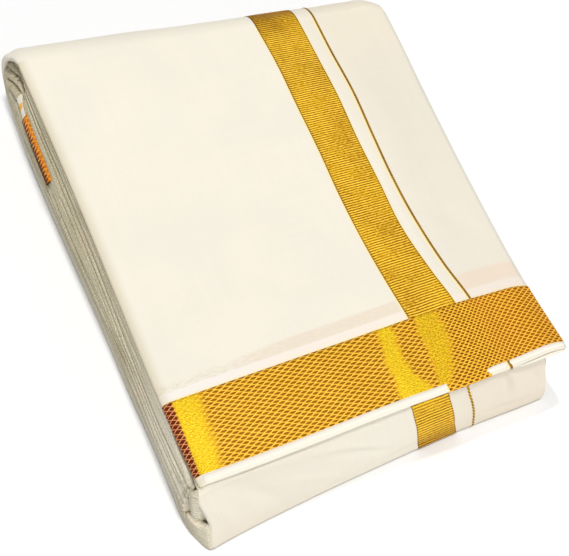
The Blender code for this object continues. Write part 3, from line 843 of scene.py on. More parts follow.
# ================================================================ node graphs
def srgb(r, g, b):
    """A colour given as 0 to 255 on a screen, as the linear value that shaders use."""
    def line(v):
        v /= 255.0
        return v / 12.92 if v <= 0.04045 else ((v + 0.055) / 1.055) ** 2.4
    return (line(r), line(g), line(b), 1.0)


class Field:
    """A number at each point of a surface, as a node's output; arithmetic adds nodes."""

    def __init__(self, tree, socket):
        self.tree, self.socket = tree, socket

    def op(self, operation, *others, clamp=False):
        n = self.tree.nodes.new("ShaderNodeMath")
        n.operation, n.use_clamp = operation, clamp
        for i, v in enumerate((self,) + others):
            if isinstance(v, Field):
                self.tree.links.new(v.socket, n.inputs[i])
            else:
                n.inputs[i].default_value = float(v)
        return Field(self.tree, n.outputs[0])

    def __add__(self, o):
        return self.op("ADD", o)

    def __sub__(self, o):
        return self.op("SUBTRACT", o)

    def __mul__(self, o):
        return self.op("MULTIPLY", o)

    def __truediv__(self, o):
        return self.op("DIVIDE", o)

    def __rsub__(self, o):
        return self.op("MULTIPLY", -1.0).op("ADD", o)

    __radd__ = __add__
    __rmul__ = __mul__

    def wave(self, period, shift=0.0):
        """From 0 to 1 and back over one period."""
        return (self * (2 * math.pi / period) + shift).op("SINE") * 0.5 + 0.5

    def tent(self):
        """1 at whole numbers, 0 halfway between them."""
        return self.op("FRACT").op("SUBTRACT", 0.5).op("ABSOLUTE") * 2.0

    def signed(self):
        """Place within one period, from -0.5 to 0.5, 0 halfway between whole numbers."""
        return self.op("FRACT").op("SUBTRACT", 0.5)

    def size(self):
        return self.op("ABSOLUTE")

    def step(self, low, high):
        n = self.tree.nodes.new("ShaderNodeMapRange")
        n.interpolation_type = "SMOOTHSTEP"
        self.tree.links.new(self.socket, n.inputs["Value"])
        n.inputs["From Min"].default_value, n.inputs["From Max"].default_value = low, high
        return Field(self.tree, n.outputs["Result"])

    def most(self, o):
        return self.op("MAXIMUM", o)

    def least(self, o):
        return self.op("MINIMUM", o)


class Look:
    """A material built from fields; its constant shader values are set on the shader itself."""

    def __init__(self, name, **values):
        self.mat = bpy.data.materials.new(name)
        self.mat.use_nodes = True
        self.tree = self.mat.node_tree
        self.shader = self.tree.nodes["Principled BSDF"]
        for key, value in values.items():
            self.shader.inputs[key.replace("_", " ")].default_value = value

    def link(self, value, socket):
        self.tree.links.new(value.socket if isinstance(value, Field) else value, socket)

    def cloth(self, name="Cloth"):
        """The two cloth coordinates in millimetres."""
        n = self.tree.nodes.new("ShaderNodeUVMap")
        n.uv_map = name
        split = self.tree.nodes.new("ShaderNodeSeparateXYZ")
        self.tree.links.new(n.outputs["UV"], split.inputs[0])
        return (Field(self.tree, split.outputs[0]) * 1000.0, Field(self.tree, split.outputs[1]) * 1000.0)

    def attr(self, name):
        n = self.tree.nodes.new("ShaderNodeAttribute")
        n.attribute_name = name
        return Field(self.tree, n.outputs["Fac"])

    def noise(self, u, v, seed=0.0, detail=2.0, rough=0.5):
        """Noise about one unit across, from about 0 to 1, of two fields scaled beforehand."""
        c = self.tree.nodes.new("ShaderNodeCombineXYZ")
        self.link(u, c.inputs[0])
        self.link(v, c.inputs[1])
        c.inputs[2].default_value = seed
        n = self.tree.nodes.new("ShaderNodeTexNoise")
        n.inputs["Scale"].default_value = 1.0
        n.inputs["Detail"].default_value = detail
        n.inputs["Roughness"].default_value = rough
        self.tree.links.new(c.outputs[0], n.inputs["Vector"])
        return Field(self.tree, n.outputs["Fac"])

    def mix(self, factor, a, b, kind="MIX"):
        """Blend of two colours, each an output socket or a constant."""
        n = self.tree.nodes.new("ShaderNodeMix")
        n.data_type, n.blend_type = "RGBA", kind
        if isinstance(factor, Field):
            self.link(factor, n.inputs["Factor"])
        else:
            n.inputs["Factor"].default_value = factor
        for value, at in ((a, 6), (b, 7)):
            if isinstance(value, tuple):
                n.inputs[at].default_value = value
            else:
                self.tree.links.new(value, n.inputs[at])
        return n.outputs[2]

    def shade(self, colour, amount):
        """The colour times a field."""
        c = self.tree.nodes.new("ShaderNodeCombineColor")
        for i in range(3):
            self.link(amount, c.inputs[i])
        return self.mix(1.0, colour, c.outputs[0], "MULTIPLY")

    def finish(self, colour, height=None, distance=0.0001, strength=1.0, roughness=None):
        self.tree.links.new(colour, self.shader.inputs["Base Color"])
        if roughness is not None:
            self.link(roughness, self.shader.inputs["Roughness"])
        if height is not None:
            b = self.tree.nodes.new("ShaderNodeBump")
            b.inputs["Strength"].default_value = strength
            b.inputs["Distance"].default_value = distance
            self.link(height, b.inputs["Height"])
            self.tree.links.new(b.outputs["Normal"], self.shader.inputs["Normal"])
        return self.mat


COTTON = (0.850, 0.796, 0.676, 1.0)


def weave(look, u, v, pitch=0.46):
    """Height of a plain weave with uneven threads, from about 0 to 1."""
    slub_u = look.noise(u * (1 / 0.5), v * (1 / 14.0), 3.0, 1.0)
    slub_v = look.noise(u * (1 / 14.0), v * (1 / 0.5), 5.0, 1.0)
    a = u.wave(pitch)
    b = v.wave(pitch * 1.07)
    over = (u.wave(2 * pitch) - 0.5) * (v.wave(2 * pitch * 1.07) - 0.5) * 2.0
    return a * 0.30 + b * 0.30 + over * 0.35 + (slub_u + slub_v) * 0.45


def cotton_look(name, kind):
    look = Look(name, Roughness=0.86, Sheen_Weight=0.12, Sheen_Roughness=0.55, Specular_IOR_Level=0.22)
    u, v = look.cloth()
    height = weave(look, u, v)
    broad = look.noise(u * (1 / 38.0), v * (1 / 46.0), 1.0, 3.0)
    threads = (look.noise(u * (1 / 0.9), v * (1 / 60.0), 8.0, 2.0)
               + look.noise(u * (1 / 60.0), v * (1 / 0.9), 9.0, 2.0))
    tone = look.mix(broad.step(0.35, 0.65), (0.772, 0.722, 0.611, 1.0), (0.752, 0.706, 0.604, 1.0))
    colour = look.shade(tone, threads * 0.05 + 0.95)
    if kind == "top":
        b = look.attr("border_b")
        x = look.attr("plan_x")
        hatch = (u * 0.95 + v * 0.32).wave(1.22) * (look.noise(u * 0.35, v * 0.8, 4.0, 2.0).step(0.36, 0.66))
        left = x.step(30.0, 26.0)
        far = x.step(-22.0, -74.0)
        right = x.step(58.5, 61.0)
        fade = x.step(97.0, 84.0)
        ragged = b + (look.noise(u * (1 / 9.0), v * 0.2, 14.0, 2.0) - 0.5) * (far * 3.0 + 0.6)
        pink = ragged.step(5.6, 4.6) * b.step(-0.5, 0.2)
        peach = ragged.step(4.4, 5.6) * (ragged + far * 2.6).step(12.2, 10.4) * left
        peach_right = b.step(4.8, 6.4) * b.step(16.0, 13.2) * right * fade
        colour = look.mix(pink * 0.62, colour, look.mix(far, (0.812, 0.718, 0.640, 1.0), (0.800, 0.745, 0.715, 1.0)))
        colour = look.mix(peach * (0.58 - far * 0.46), colour, (0.722, 0.600, 0.462, 1.0))
        colour = look.mix(peach * hatch * (far * 0.24 + 0.26), colour, (0.540, 0.470, 0.370, 1.0))
        colour = look.mix(peach_right * 0.62, colour, (0.770, 0.618, 0.485, 1.0))
        colour = look.mix(b.step(1.6, 0.7) * b.step(-1.2, -0.4) * 0.6, colour, (0.850, 0.735, 0.450, 1.0))
        # painted shade: right of the gold band the top is drawn greyer and cooler, as for cloth sloping away from
        # the light
        slope = x.step(50.5, 70.0) * 0.55 + x.step(50.5, 54.5) * 0.45
        tone = look.mix(b.step(46.0, 108.0), (0.940, 0.928, 0.919, 1.0), (0.934, 0.925, 0.903, 1.0))
        tone = look.mix(b.step(120.0, 190.0), tone, (0.955, 0.934, 0.892, 1.0))
        colour = look.mix(slope, colour, look.mix(1.0, colour, tone, "MULTIPLY"))
        # painted shade: the top darkened along its left fold
        turn = look.attr("from_left").step(6.5, 0.0)
        colour = look.mix(turn * 0.85, colour, look.mix(1.0, colour, (0.86, 0.81, 0.68, 1.0), "MULTIPLY"))
        # painted shade: a cool grey along the top's right fold
        bend = look.attr("from_right").step(3.6, 1.7)
        colour = look.mix(bend * (broad * 0.7 + 0.6), colour, look.mix(1.0, colour, (0.830, 0.862, 0.905, 1.0), "MULTIPLY"))
        halo = look.attr("beside").step(1.3, 0.4)
        colour = look.mix(halo * 0.8, colour, (0.850, 0.700, 0.320, 1.0))
    if kind == "front":
        # painted shade on the front wall: greyer to the left, darker and warmer to the right, darker towards the
        # bottom
        colour = look.mix(look.attr("plan_x").step(10.0, -80.0) * 0.8, colour,
                          look.mix(1.0, colour, (0.92, 0.90, 0.88, 1.0), "MULTIPLY"))
        colour = look.mix(look.attr("plan_x").step(5.0, 62.0), colour,
                          look.mix(1.0, colour, (0.965, 0.925, 0.885, 1.0), "MULTIPLY"))
        colour = look.mix(look.attr("high").step(17.0, 3.0) * 0.9, colour,
                          look.mix(1.0, colour, (0.955, 0.945, 0.930, 1.0), "MULTIPLY"))
    if kind == "bar":
        colour = look.mix(0.4, colour, (0.82, 0.79, 0.71, 1.0))
    if kind == "under":
        band = u.step(-0.3, 0.3) * u.step(21.9, 21.3)
        line = u.step(29.2, 29.6) * u.step(31.2, 30.8)
        rib = v.wave(0.92)
        gold = look.mix(rib, (0.33, 0.17, 0.02, 1.0), (0.78, 0.46, 0.07, 1.0))
        colour = look.mix(band.most(line), colour, gold)
    return look.finish(colour, height, 0.00006, 0.55)


def layers_look():
    look = Look("cotton_layers_painted_shading", Roughness=0.9, Sheen_Weight=0.05, Sheen_Roughness=0.6, Specular_IOR_Level=0.12)
    u, v = look.cloth()      # u along the fold, v across the layers
    groove, painted_light = look.attr("groove"), look.attr("painted_light")
    streak = look.noise(u * (1 / 26.0), v * (1 / 0.62), 2.0, 3.0)
    streak2 = look.noise(u * (1 / 50.0), v * (1 / 1.9), 6.0, 2.0)
    blot = look.noise(u * (1 / 16.0), v * (1 / 9.0), 7.0, 2.0)
    calm = 1.0 - painted_light * 0.75
    twill = (u * 0.62 + v * 0.95).wave(1.0)
    fleck = look.noise(u * (1 / 0.95), v * (1 / 0.62), 9.0, 1.0).step(0.32, 0.68)
    fine = look.noise(u * (1 / 9.0), v * (1 / 0.34), 15.0, 2.0).step(0.56, 0.70)
    # darker than the top's cotton: partly the greyer tone of the folded edges, partly painted shade of the side
    base = look.mix(streak2.step(0.3, 0.7), (0.430, 0.382, 0.252, 1.0), (0.560, 0.512, 0.372, 1.0))
    base = look.mix(blot.step(0.52, 0.70) * 0.5, base, (0.520, 0.415, 0.285, 1.0))
    colour = look.shade(base, streak * 0.34 + twill * 0.20 + blot * 0.06 + fleck * 0.44 + 0.54)
    colour = look.mix(fine * 0.42, colour, (0.270, 0.228, 0.130, 1.0))
    # painted light: paler low down and towards the front of the side, and on the corner plies' faces
    colour = look.mix(painted_light, colour, look.mix(fleck, (0.700, 0.650, 0.515, 1.0), (0.815, 0.765, 0.630, 1.0)))
    # painted shade in the grooves between plies and in the corner plies' recesses
    sunk = groove.step(0.45, 0.95) * 0.66 + groove * 0.24
    colour = look.mix(sunk, colour, (0.165, 0.125, 0.062, 1.0))
    height = twill * 0.8 + streak * 1.2 + fleck * 1.0 * calm
    return look.finish(colour, height, 0.00012, 0.7)


def lattice_look(name="zari_lattice"):
    """Woven gold with a diamond lattice; yellow, mottled and red zones are fields on the mesh."""
    look = Look(name, Roughness=0.48, Metallic=0.20, Specular_IOR_Level=0.08)
    u, v = look.cloth()
    a, b = look.attr("line_a"), look.attr("line_b")
    yellow, red, mottled, edge = (look.attr(k) for k in ("yellow", "red", "mottled", "edge"))
    right = look.attr("right")
    wobble = look.noise(u * (1 / 1.3), v * (1 / 1.0), 2.0, 2.0) - 0.5
    p, q = (a + wobble * 0.20).signed(), (b + wobble * 0.20).signed()
    line_a = p.size().step(0.365, 0.465)
    line_b = q.size().step(0.375, 0.475)
    long, tall = (p + q).size(), (p - q).size()
    lens = (tall - 0.5 + long * 0.30).step(0.10, -0.28) * long.step(0.86, 0.46)
    uneven = look.noise(u * (1 / 2.6), v * (1 / 1.5), 5.0, 1.0)
    grain = look.noise(u * (1 / 1.5), v * (1 / 0.5), 4.0, 2.0)
    spark = look.noise(u * (1 / 0.9), v * (1 / 0.55), 6.0, 2.0)
    drift = look.noise(u * (1 / 14.0), v * (1 / 9.0), 12.0, 2.0)
    gold = look.mix(grain.step(0.3, 0.7), (0.570, 0.252, 0.004, 1.0), (0.770, 0.378, 0.014, 1.0))
    gold = look.mix(right * 0.75, gold, (0.700, 0.285, 0.008, 1.0))
    gold = look.mix(drift.step(0.50, 0.72) * 0.4, gold, (0.600, 0.310, 0.006, 1.0))
    gold = look.shade(gold, mottled * 0.40 + 1.0)
    calm = 1.0 - yellow
    deep = look.mix(right, (0.215, 0.088, 0.000, 1.0), (0.260, 0.072, 0.000, 1.0))
    deep = look.mix(mottled * 0.8, deep, (0.120, 0.038, 0.000, 1.0))
    colour = look.mix((lens * (uneven * 0.8 + 0.62)).least(1.0) * calm, gold, deep)
    lines = (line_a.most(line_b * 0.78)) * (spark * 0.9 + 0.42).least(1.0)
    colour = look.mix(lines * calm, colour, (1.0, 0.590, 0.085, 1.0))
    dots = (look.noise(u * (1 / 1.1), v * (1 / 0.75), 8.0, 1.0)).step(0.44, 0.60)
    colour = look.mix(dots * mottled * 0.30, colour, (0.16, 0.058, 0.001, 1.0))
    speck = look.mix(spark.step(0.34, 0.64), (0.600, 0.365, 0.006, 1.0), (0.880, 0.625, 0.022, 1.0))
    speck = look.mix((line_a.most(line_b) * -1.0 + 1.0) * 0.18, speck, (0.50, 0.27, 0.004, 1.0))
    colour = look.mix(yellow, colour, speck)
    pits = (look.noise(u * (1 / 0.8), v * (1 / 0.7), 18.0, 1.0)).step(0.48, 0.62)
    colour = look.mix(pits * mottled.step(0.10, 0.45) * yellow * 0.72, colour, (0.300, 0.150, 0.002, 1.0))
    rib = v.wave(1.1)
    colour = look.shade(colour, spark * 0.40 + rib * 0.10 + 0.76)
    dark = look.mix((line_a.most(line_b * 0.9)) * (spark * 0.9 + 0.45).least(1.0), (0.125, 0.020, 0.003, 1.0), (0.92, 0.36, 0.140, 1.0))
    colour = look.mix(red, colour, dark)
    colour = look.mix(edge * 0.70, colour, (0.165, 0.070, 0.004, 1.0))
    height = (line_a.most(line_b)) * 0.8 + spark * 0.9 + rib * 0.3
    return look.finish(colour, height, 0.00010, 0.5)


def inner_look():
    """Orange gold with a row of dark teeth, seen edge-on between the layers."""
    look = Look("zari_inner", Roughness=0.5, Metallic=0.15, Specular_IOR_Level=0.15)
    u, v = look.cloth()
    teeth, a, b = look.attr("red"), look.attr("line_a"), look.attr("line_b")
    line = a.tent().step(0.55, 0.9).most(b.tent().step(0.55, 0.9))
    colour = look.mix(line * 0.7, (0.640, 0.170, 0.004, 1.0), (1.0, 0.420, 0.030, 1.0))
    colour = look.mix(teeth * 0.95, colour, (0.060, 0.014, 0.001, 1.0))
    spark = look.noise(u * (1 / 0.9), v * (1 / 0.6), 3.0, 2.0)
    colour = look.shade(colour, spark * 0.5 + 0.75)
    return look.finish(colour, spark + line, 0.0001, 0.5)


def band_look(name, narrow=False, highlight_part=0.35, tone=(0.56, 0.55, 0.60, 1.0), painted_light_tone=False):
    """Gold weft in ribs, with painted shade in the groove between two ribs and short, broken painted glints."""
    look = Look(name, Roughness=0.45, Metallic=0.22, Specular_IOR_Level=0.06)
    u, v = look.cloth()
    rib = look.attr("rib")
    spark = look.noise(u * (1 / 1.2), v * (1 / 0.60), 3.0, 2.0, 0.6)
    glint = look.noise(u * (1 / 1.7), v * (1 / 0.66), 11.0, 1.0)
    streak = look.noise(u * (1 / 9.0), v * (1 / 1.1), 5.0, 2.0)
    broad = look.noise(u * (1 / 13.0), v * (1 / 26.0), 7.0, 3.0)
    gold = look.mix(broad.step(0.32, 0.68), (0.490, 0.222, 0.002, 1.0), (0.700, 0.362, 0.004, 1.0))
    gold = look.mix(streak.step(0.56, 0.76) * 0.55, gold, (0.45, 0.20, 0.006, 1.0))
    # painted glints: highlights on the ribs
    glint_highlight = (rib * 0.5 + glint * 1.3 - 0.35).step(0.10, 0.62)
    colour = look.mix(glint_highlight * (0.70 if not narrow else highlight_part), gold, (1.0, 0.665, 0.075, 1.0))
    # painted shade in the grooves between ribs
    deep = (rib * -0.5 + (1.0 - spark) * 1.3 - 0.40).step(0.12, 0.62)
    colour = look.mix(deep * (0.80 if not narrow else 0.9), colour, (0.150, 0.058, 0.000, 1.0))
    colour = look.shade(colour, spark * 0.30 + 0.86)
    if not narrow:
        colour = look.mix(look.attr("rim").step(0.75, 0.30) * 0.62, colour, (0.175, 0.078, 0.006, 1.0))
    shaded = look.attr("shade")
    colour = look.mix(shaded, colour, look.mix(1.0, colour, (0.46, 0.36, 0.25, 1.0), "MULTIPLY"))
    # narrow threads take their own tone; the front band's copy is multiplied by a brighter, yellower tone as painted
    # light
    if narrow or painted_light_tone:
        colour = look.mix(1.0, colour, tone, "MULTIPLY")
    height = spark * 1.0 + glint * 0.8
    return look.finish(colour, height, 0.00010, 0.5)


# ================================================================ the wrap's pieces
def side_rolls(grid, normal, uv, radius=ROLL, turn=176.0, flange=(1.6, 3.2)):
    grid, normal, uv = rolled(grid, normal, uv, -1, radius, turn, flange)
    return rolled(grid, normal, uv, 1, radius, turn, flange)


def front_roll(grid, normal, uv, radius, turn=128.0):
    """Bends the first row's edge round and under."""
    def t(v):
        return v.transpose(1, 0, 2)
    return tuple(t(v) for v in rolled(t(grid), t(normal), t(uv), -1, radius, turn, (), grows=1))


ADDED = 1 + 6 + 1                     # columns of one rolled side: steps and flange


def plan_fields(grid, wrap_border_back):
    return grid[..., 0], grid[..., 1] - wrap_border_back


def cloth_piece(name, grid, normal, uv, attrs=None, bulge=(0.0, 0.35, 0.0, 0.35), thick=PLY):
    return shell(name, grid, grid - normal * thick, normal, {"Cloth": uv}, attrs, bulge)


def beside(grid):
    """How far each place lies outside the left edge of the gold band or of the thin line (mm)."""
    x, y = grid[..., 0], grid[..., 1]
    out = np.full(x.shape, 9.0)
    for edge in (read(BANDS_TOP, "band_left", y), read(BANDS_TOP, "line", y) - 0.5 * LINE_WIDTH):
        out = np.where(x <= edge + 0.02, np.minimum(out, edge - x), out)
    right = read(BANDS_TOP, "band_right", y)
    near = np.where(x >= right - 0.02, x - right, 9.0)
    return np.clip(np.minimum(out, near + 0.35), 0.0, 9.0)


def build_wrap():
    density = dict(DENSITY, selvedge=11)
    wrap = Wrap(C, density)
    grid, normal = wrap.grid, wrap.normal
    uv = np.stack([wrap.across, wrap.along], -1) * MM
    pieces = {}
    top_end, back_end, under_end, last = wrap.top_end, wrap.back_end, wrap.under_end, wrap.last

    s = slice(0, top_end + 1)
    g, n, t = grid[s], normal[s], uv[s]
    g, n, t = front_roll(g, n, t, 0.85)
    radius = np.full(len(g), ROLL)
    added = len(g) - (top_end + 1)
    radius[:added] = np.linspace(0.5, 1.3, added)
    radius[added:added + 12] = np.linspace(1.35, ROLL, 12)
    g, n, t = side_rolls(g, n, t, radius)
    back_edge = read(ACROSS, "border_back", g[..., 0])
    attrs = {"border_b": g[..., 1] - back_edge, "plan_x": g[..., 0], "beside": beside(g),
             "from_left": np.clip(g[..., 0] - read(OUTLINE, "top_left", g[..., 1]), 0.0, 30.0),
             "from_right": np.clip(read(OUTLINE, "top_right", g[..., 1]) - g[..., 0], 0.0, 30.0)}
    pieces["top"] = cloth_piece("top_panel_cloth", g, n, t, attrs, (0.35, 0.35, 0.0, 0.35))

    full_g, full_n, full_t = side_rolls(grid, normal, uv)
    for key, name, a, b, bulge in (
            ("back", "back_fold_cloth", top_end, back_end, (0.0, 0.35, 0.0, 0.35)),
            ("under", "underside_cloth", back_end, under_end, (0.0, 0.35, 0.0, 0.35)),
            ("front", "front_fold_cloth", under_end, last, (0.0, 0.35, 0.35, 0.35))):
        s = slice(a, b + 1)
        g = full_g[s]
        attrs = {"border_b": np.full(g.shape[:2], 230.0), "plan_x": g[..., 0],
                 "beside": np.full(g.shape[:2], 9.0), "from_left": arc(g, 1),
                 "from_right": np.clip(arc(g, 1)[:, -1:] - arc(g, 1) - 5.5, 0.0, 30.0)}
        attrs = {"back": attrs, "front": {"plan_x": g[..., 0], "high": g[..., 2]}, "under": None}[key]
        pieces[key] = cloth_piece(name, g, full_n[s], full_t[s], attrs, bulge)
    return wrap, pieces


SECOND_PLY = table("x inset drop", [
    (-92, 0.2, 0.0),
    (-40, 0.3, 0.0),
    (30, 0.6, 0.0),
    (60, 0.4, 0.1),
    (75, -0.8, 0.2),
    (86, -0.9, 0.2),
    (92, -0.1, 0.2),
    (100, 0.8, 0.2),
])


def build_second_ply(wrap):
    rows = slice(0, wrap.border[0] + 6)
    g, n = wrap.grid[rows].copy(), wrap.normal[rows]
    uv = np.stack([wrap.across[rows], wrap.along[rows]], -1) * MM
    x = g[..., 0]
    g = g - n * (PLY + 0.45)
    near = ease(1.0 - (g[..., 1] - g[:1, :, 1]) / 9.0)
    g[..., 1] += read(SECOND_PLY, "inset", x) * near
    g[..., 2] -= read(SECOND_PLY, "drop", x) * near
    g[..., 2] -= 0.25 * (1 + noise1(x / 9.0, 61)) * near
    n = grid_normals(g)
    g, n, uv = front_roll(g, n, uv, 0.7)
    radius = np.full(len(g), 1.0)
    radius[:6] = np.linspace(0.4, 0.9, 6)
    g, n, uv = side_rolls(g, n, uv, radius, 120.0, (0.8,))
    return cloth_piece("flap_second_ply_cloth", g, n, uv, None, (0.3, 0.3, 0.3, 0.3), 0.8)


# ================================================================ woven gold
def overlay(name, grid, normal, uv, height, attrs, sink=0.15, bulge=0.04):
    """Woven metal set in the cloth: its face stands out by height, its back lies within."""
    outer = grid + normal * np.broadcast_to(height, grid.shape[:2])[..., None]
    return shell(name, outer, grid - normal * sink, grid_normals(outer), {"Cloth": uv}, attrs,
                 (bulge,) * 4)


CELLS = table("x width", [
    (-95, 4.7), (-60, 4.5), (-20, 4.35), (22, 4.4), (34, 3.6), (46, 2.7), (56, 2.25), (64, 2.35),
    (70, 2.8), (76, 3.1), (84, 3.3), (100, 3.3),
])
CELL_HEIGHT = 2.42
YELLOW = table("y a1 b1 a2 b2 a3 b3", [
    (-119, -86.2, -76.6, 8.8, 25.0, 29.0, 33.0),
    (-116, -86.0, -76.2, 9.5, 24.0, 29.0, 34.2),
    (-111, -85.9, -75.8, 10.3, 21.0, 29.6, 37.0),
    (-103, -85.7, -75.2, 10.4, 18.7, 30.4, 40.2),
    (-93, -85.5, -74.6, 11.6, 18.7, 31.1, 41.6),
    (-83, -85.3, -73.8, 13.2, 19.2, 31.5, 42.0),
    (-80, -85.3, -73.6, 13.4, 19.2, 31.5, 42.0),
])


def lattice_fields(x, y, border_back, border_front):
    """The two families of lattice lines as phases, and the zones, at plan places (mm)."""
    xs = np.linspace(-110, 115, 4501)
    phase = np.concatenate([[0.0], np.cumsum(np.diff(xs) / read(CELLS, "width", 0.5 * (xs[1:] + xs[:-1])))])
    px = np.interp(x, xs, phase)
    b = border_back - y
    # the weave is pulled a little out of true in places
    drift = 0.10 * noise2(x / 30.0, y / 22.0, 71) + 0.05 * noise2(x / 9.0, y / 9.0, 72)
    line_a = px + b / CELL_HEIGHT * 0.97 + drift
    line_b = px - b / CELL_HEIGHT * 1.03 - drift
    rag = 0.9 * noise2(x / 1.6, y / 1.2, 73) + 0.8 * noise2(x / 4.0, y / 3.0, 74)
    yellow = np.zeros_like(x)
    for k, soft, level in ((1, (0.5, 6.5), 0.95), (2, (3.2, 3.6), 1.0), (3, (2.8, 5.0), 0.82)):
        a, c = read(YELLOW, "a%d" % k, y), read(YELLOW, "b%d" % k, y)
        inside = ease((x - a + soft[0] * 0.5 + rag * (soft[0] > 1)) / soft[0]) * ease((c - x + soft[1] * 0.5 + rag) / soft[1])
        yellow = np.maximum(yellow, inside * level)
    red = ease((-85.55 - x) / 0.7)
    mottled = ease((x - 24.0) / 7.0) * ease((62.0 - x) / 5.0)
    edge = np.exp(-((b - 0.35) / 0.42) ** 2) * 0.85
    dashes = 0.5 + 0.5 * np.sin(2 * np.pi * px)
    edge = edge * (0.45 + 0.55 * dashes)
    return line_a, line_b, yellow, red, mottled * (1.0 - yellow * 0.6), edge


def lattice_height(line_a, line_b, yellow):
    tent_a = 2 * np.abs(line_a - np.floor(line_a) - 0.5)
    tent_b = 2 * np.abs(line_b - np.floor(line_b) - 0.5)
    ridge = np.maximum(ease((tent_a - 0.45) / 0.5), 0.8 * ease((tent_b - 0.5) / 0.5))
    return 0.17 + 0.12 * ridge * (1 - 0.7 * yellow)


def build_border():
    lengths = np.diff(key_columns(-89.0, 91.6, 31.0, 53.0, 61.6, ROLL))
    c = column_params([max(2, int(round(v / 0.46))) for v in lengths])
    density = dict(DENSITY, selvedge=8, border=84, stripe=2, field=6, back=4, under=4, toe=2, wall=3, brow=2, lap=2)
    wrap = Wrap(c, density)
    rows = slice(wrap.border[0], wrap.border[1] + 1)
    g, n = wrap.grid[rows], wrap.normal[rows]
    uv = np.stack([wrap.across[rows], wrap.along[rows]], -1) * MM
    at = int(np.argmin(np.abs(c - 8.0)))
    g, n, uv = side_rolls(g, n, uv, ROLL, 150.0, ())
    extra = (g.shape[1] - len(c)) // 2
    x = g[:, at + extra, 0][:, None] + uv[..., 0] / MM
    y = np.repeat(g[:, at + extra, 1][:, None], g.shape[1], 1) + (g[..., 1] - g[:, at + extra, 1][:, None])
    y = np.where((np.arange(g.shape[1]) < extra)[None, :], g[:, extra, 1][:, None], y)
    y = np.where((np.arange(g.shape[1]) >= g.shape[1] - extra)[None, :], g[:, -extra - 1, 1][:, None], y)
    bb, bf = read(ACROSS, "border_back", x), read(ACROSS, "border_front", x)
    line_a, line_b, yellow, red, mottled, edge = lattice_fields(x, y, bb, bf)
    attrs = {"line_a": line_a, "line_b": line_b, "yellow": yellow, "red": red, "mottled": mottled, "edge": edge,
             "right": ease((x - 52) / 14)}
    piece = overlay("zari_border_weave", g, n, uv, lattice_height(line_a, line_b, yellow), attrs)
    # where the band crosses the white edge the lattice goes on over the fold
    wrap2 = Wrap(8.0 + 2.26 * np.linspace(0, 1, 70), dict(density, selvedge=10, border=2))
    rows = slice(0, wrap2.border[0] + 1)
    g, n = wrap2.grid[rows], wrap2.normal[rows]
    at_front = wrap2.along[wrap2.border[0]][None, :]
    uv = np.stack([g[..., 0], wrap2.along[rows]], -1) * MM
    g, n, uv = front_roll(g, n, uv, 0.85)
    # its right end is drawn back round the tip of the short white bar
    down = at_front - uv[..., 1] / MM
    back = 3.5 * np.sqrt(np.clip(1.0 - ((np.minimum(down, 1.75) - 1.75) / 1.85) ** 2, 0.0, 1.0)) \
        - 0.8 * ease((down - 2.4) / 1.2)
    g[..., 0] -= back * np.clip((g[..., 0] - 40.0) / 13.9, 0.0, 1.0)
    x = g[..., 0]
    bb, bf = read(ACROSS, "border_back", x), read(ACROSS, "border_front", x)
    y = bf + uv[..., 1] / MM - at_front
    line_a, line_b, yellow, red, mottled, edge = lattice_fields(x, y, bb, bf)
    yellow = yellow * ease((y + 119.6) / 1.4)
    patch = overlay("zari_edge_patch", g, n, uv, lattice_height(line_a, line_b, yellow), {
        "line_a": line_a, "line_b": line_b, "yellow": yellow, "red": red * 0, "mottled": np.ones_like(x) * 0.8,
        "edge": edge * 0, "right": ease((x - 52) / 14)})
    return piece, patch


RIBS = {"top": 1.40, "back": 1.40, "front": 2.30}


def rib_height(u, v, pitch, seed):
    """Cross ribs of the gold weft: a little wavy and uneven, in whole ribs along v."""
    shift = 0.16 * noise2(u / 7.0, v / 12.0, seed) + 0.10 * noise2(u / 2.2, v / 5.0, seed + 1)
    strength = 0.68 + 0.55 * noise2(u / 5.0, v / 4.0, seed + 2)
    return np.cos(2 * np.pi * (v + shift) / pitch) * strength


BAND_DENSITY = {"selvedge": 8, "border": 4, "stripe": 66, "field": 806, "back": 352, "under": 6,
                "toe": 28, "wall": 158, "brow": 31, "lap": 22}


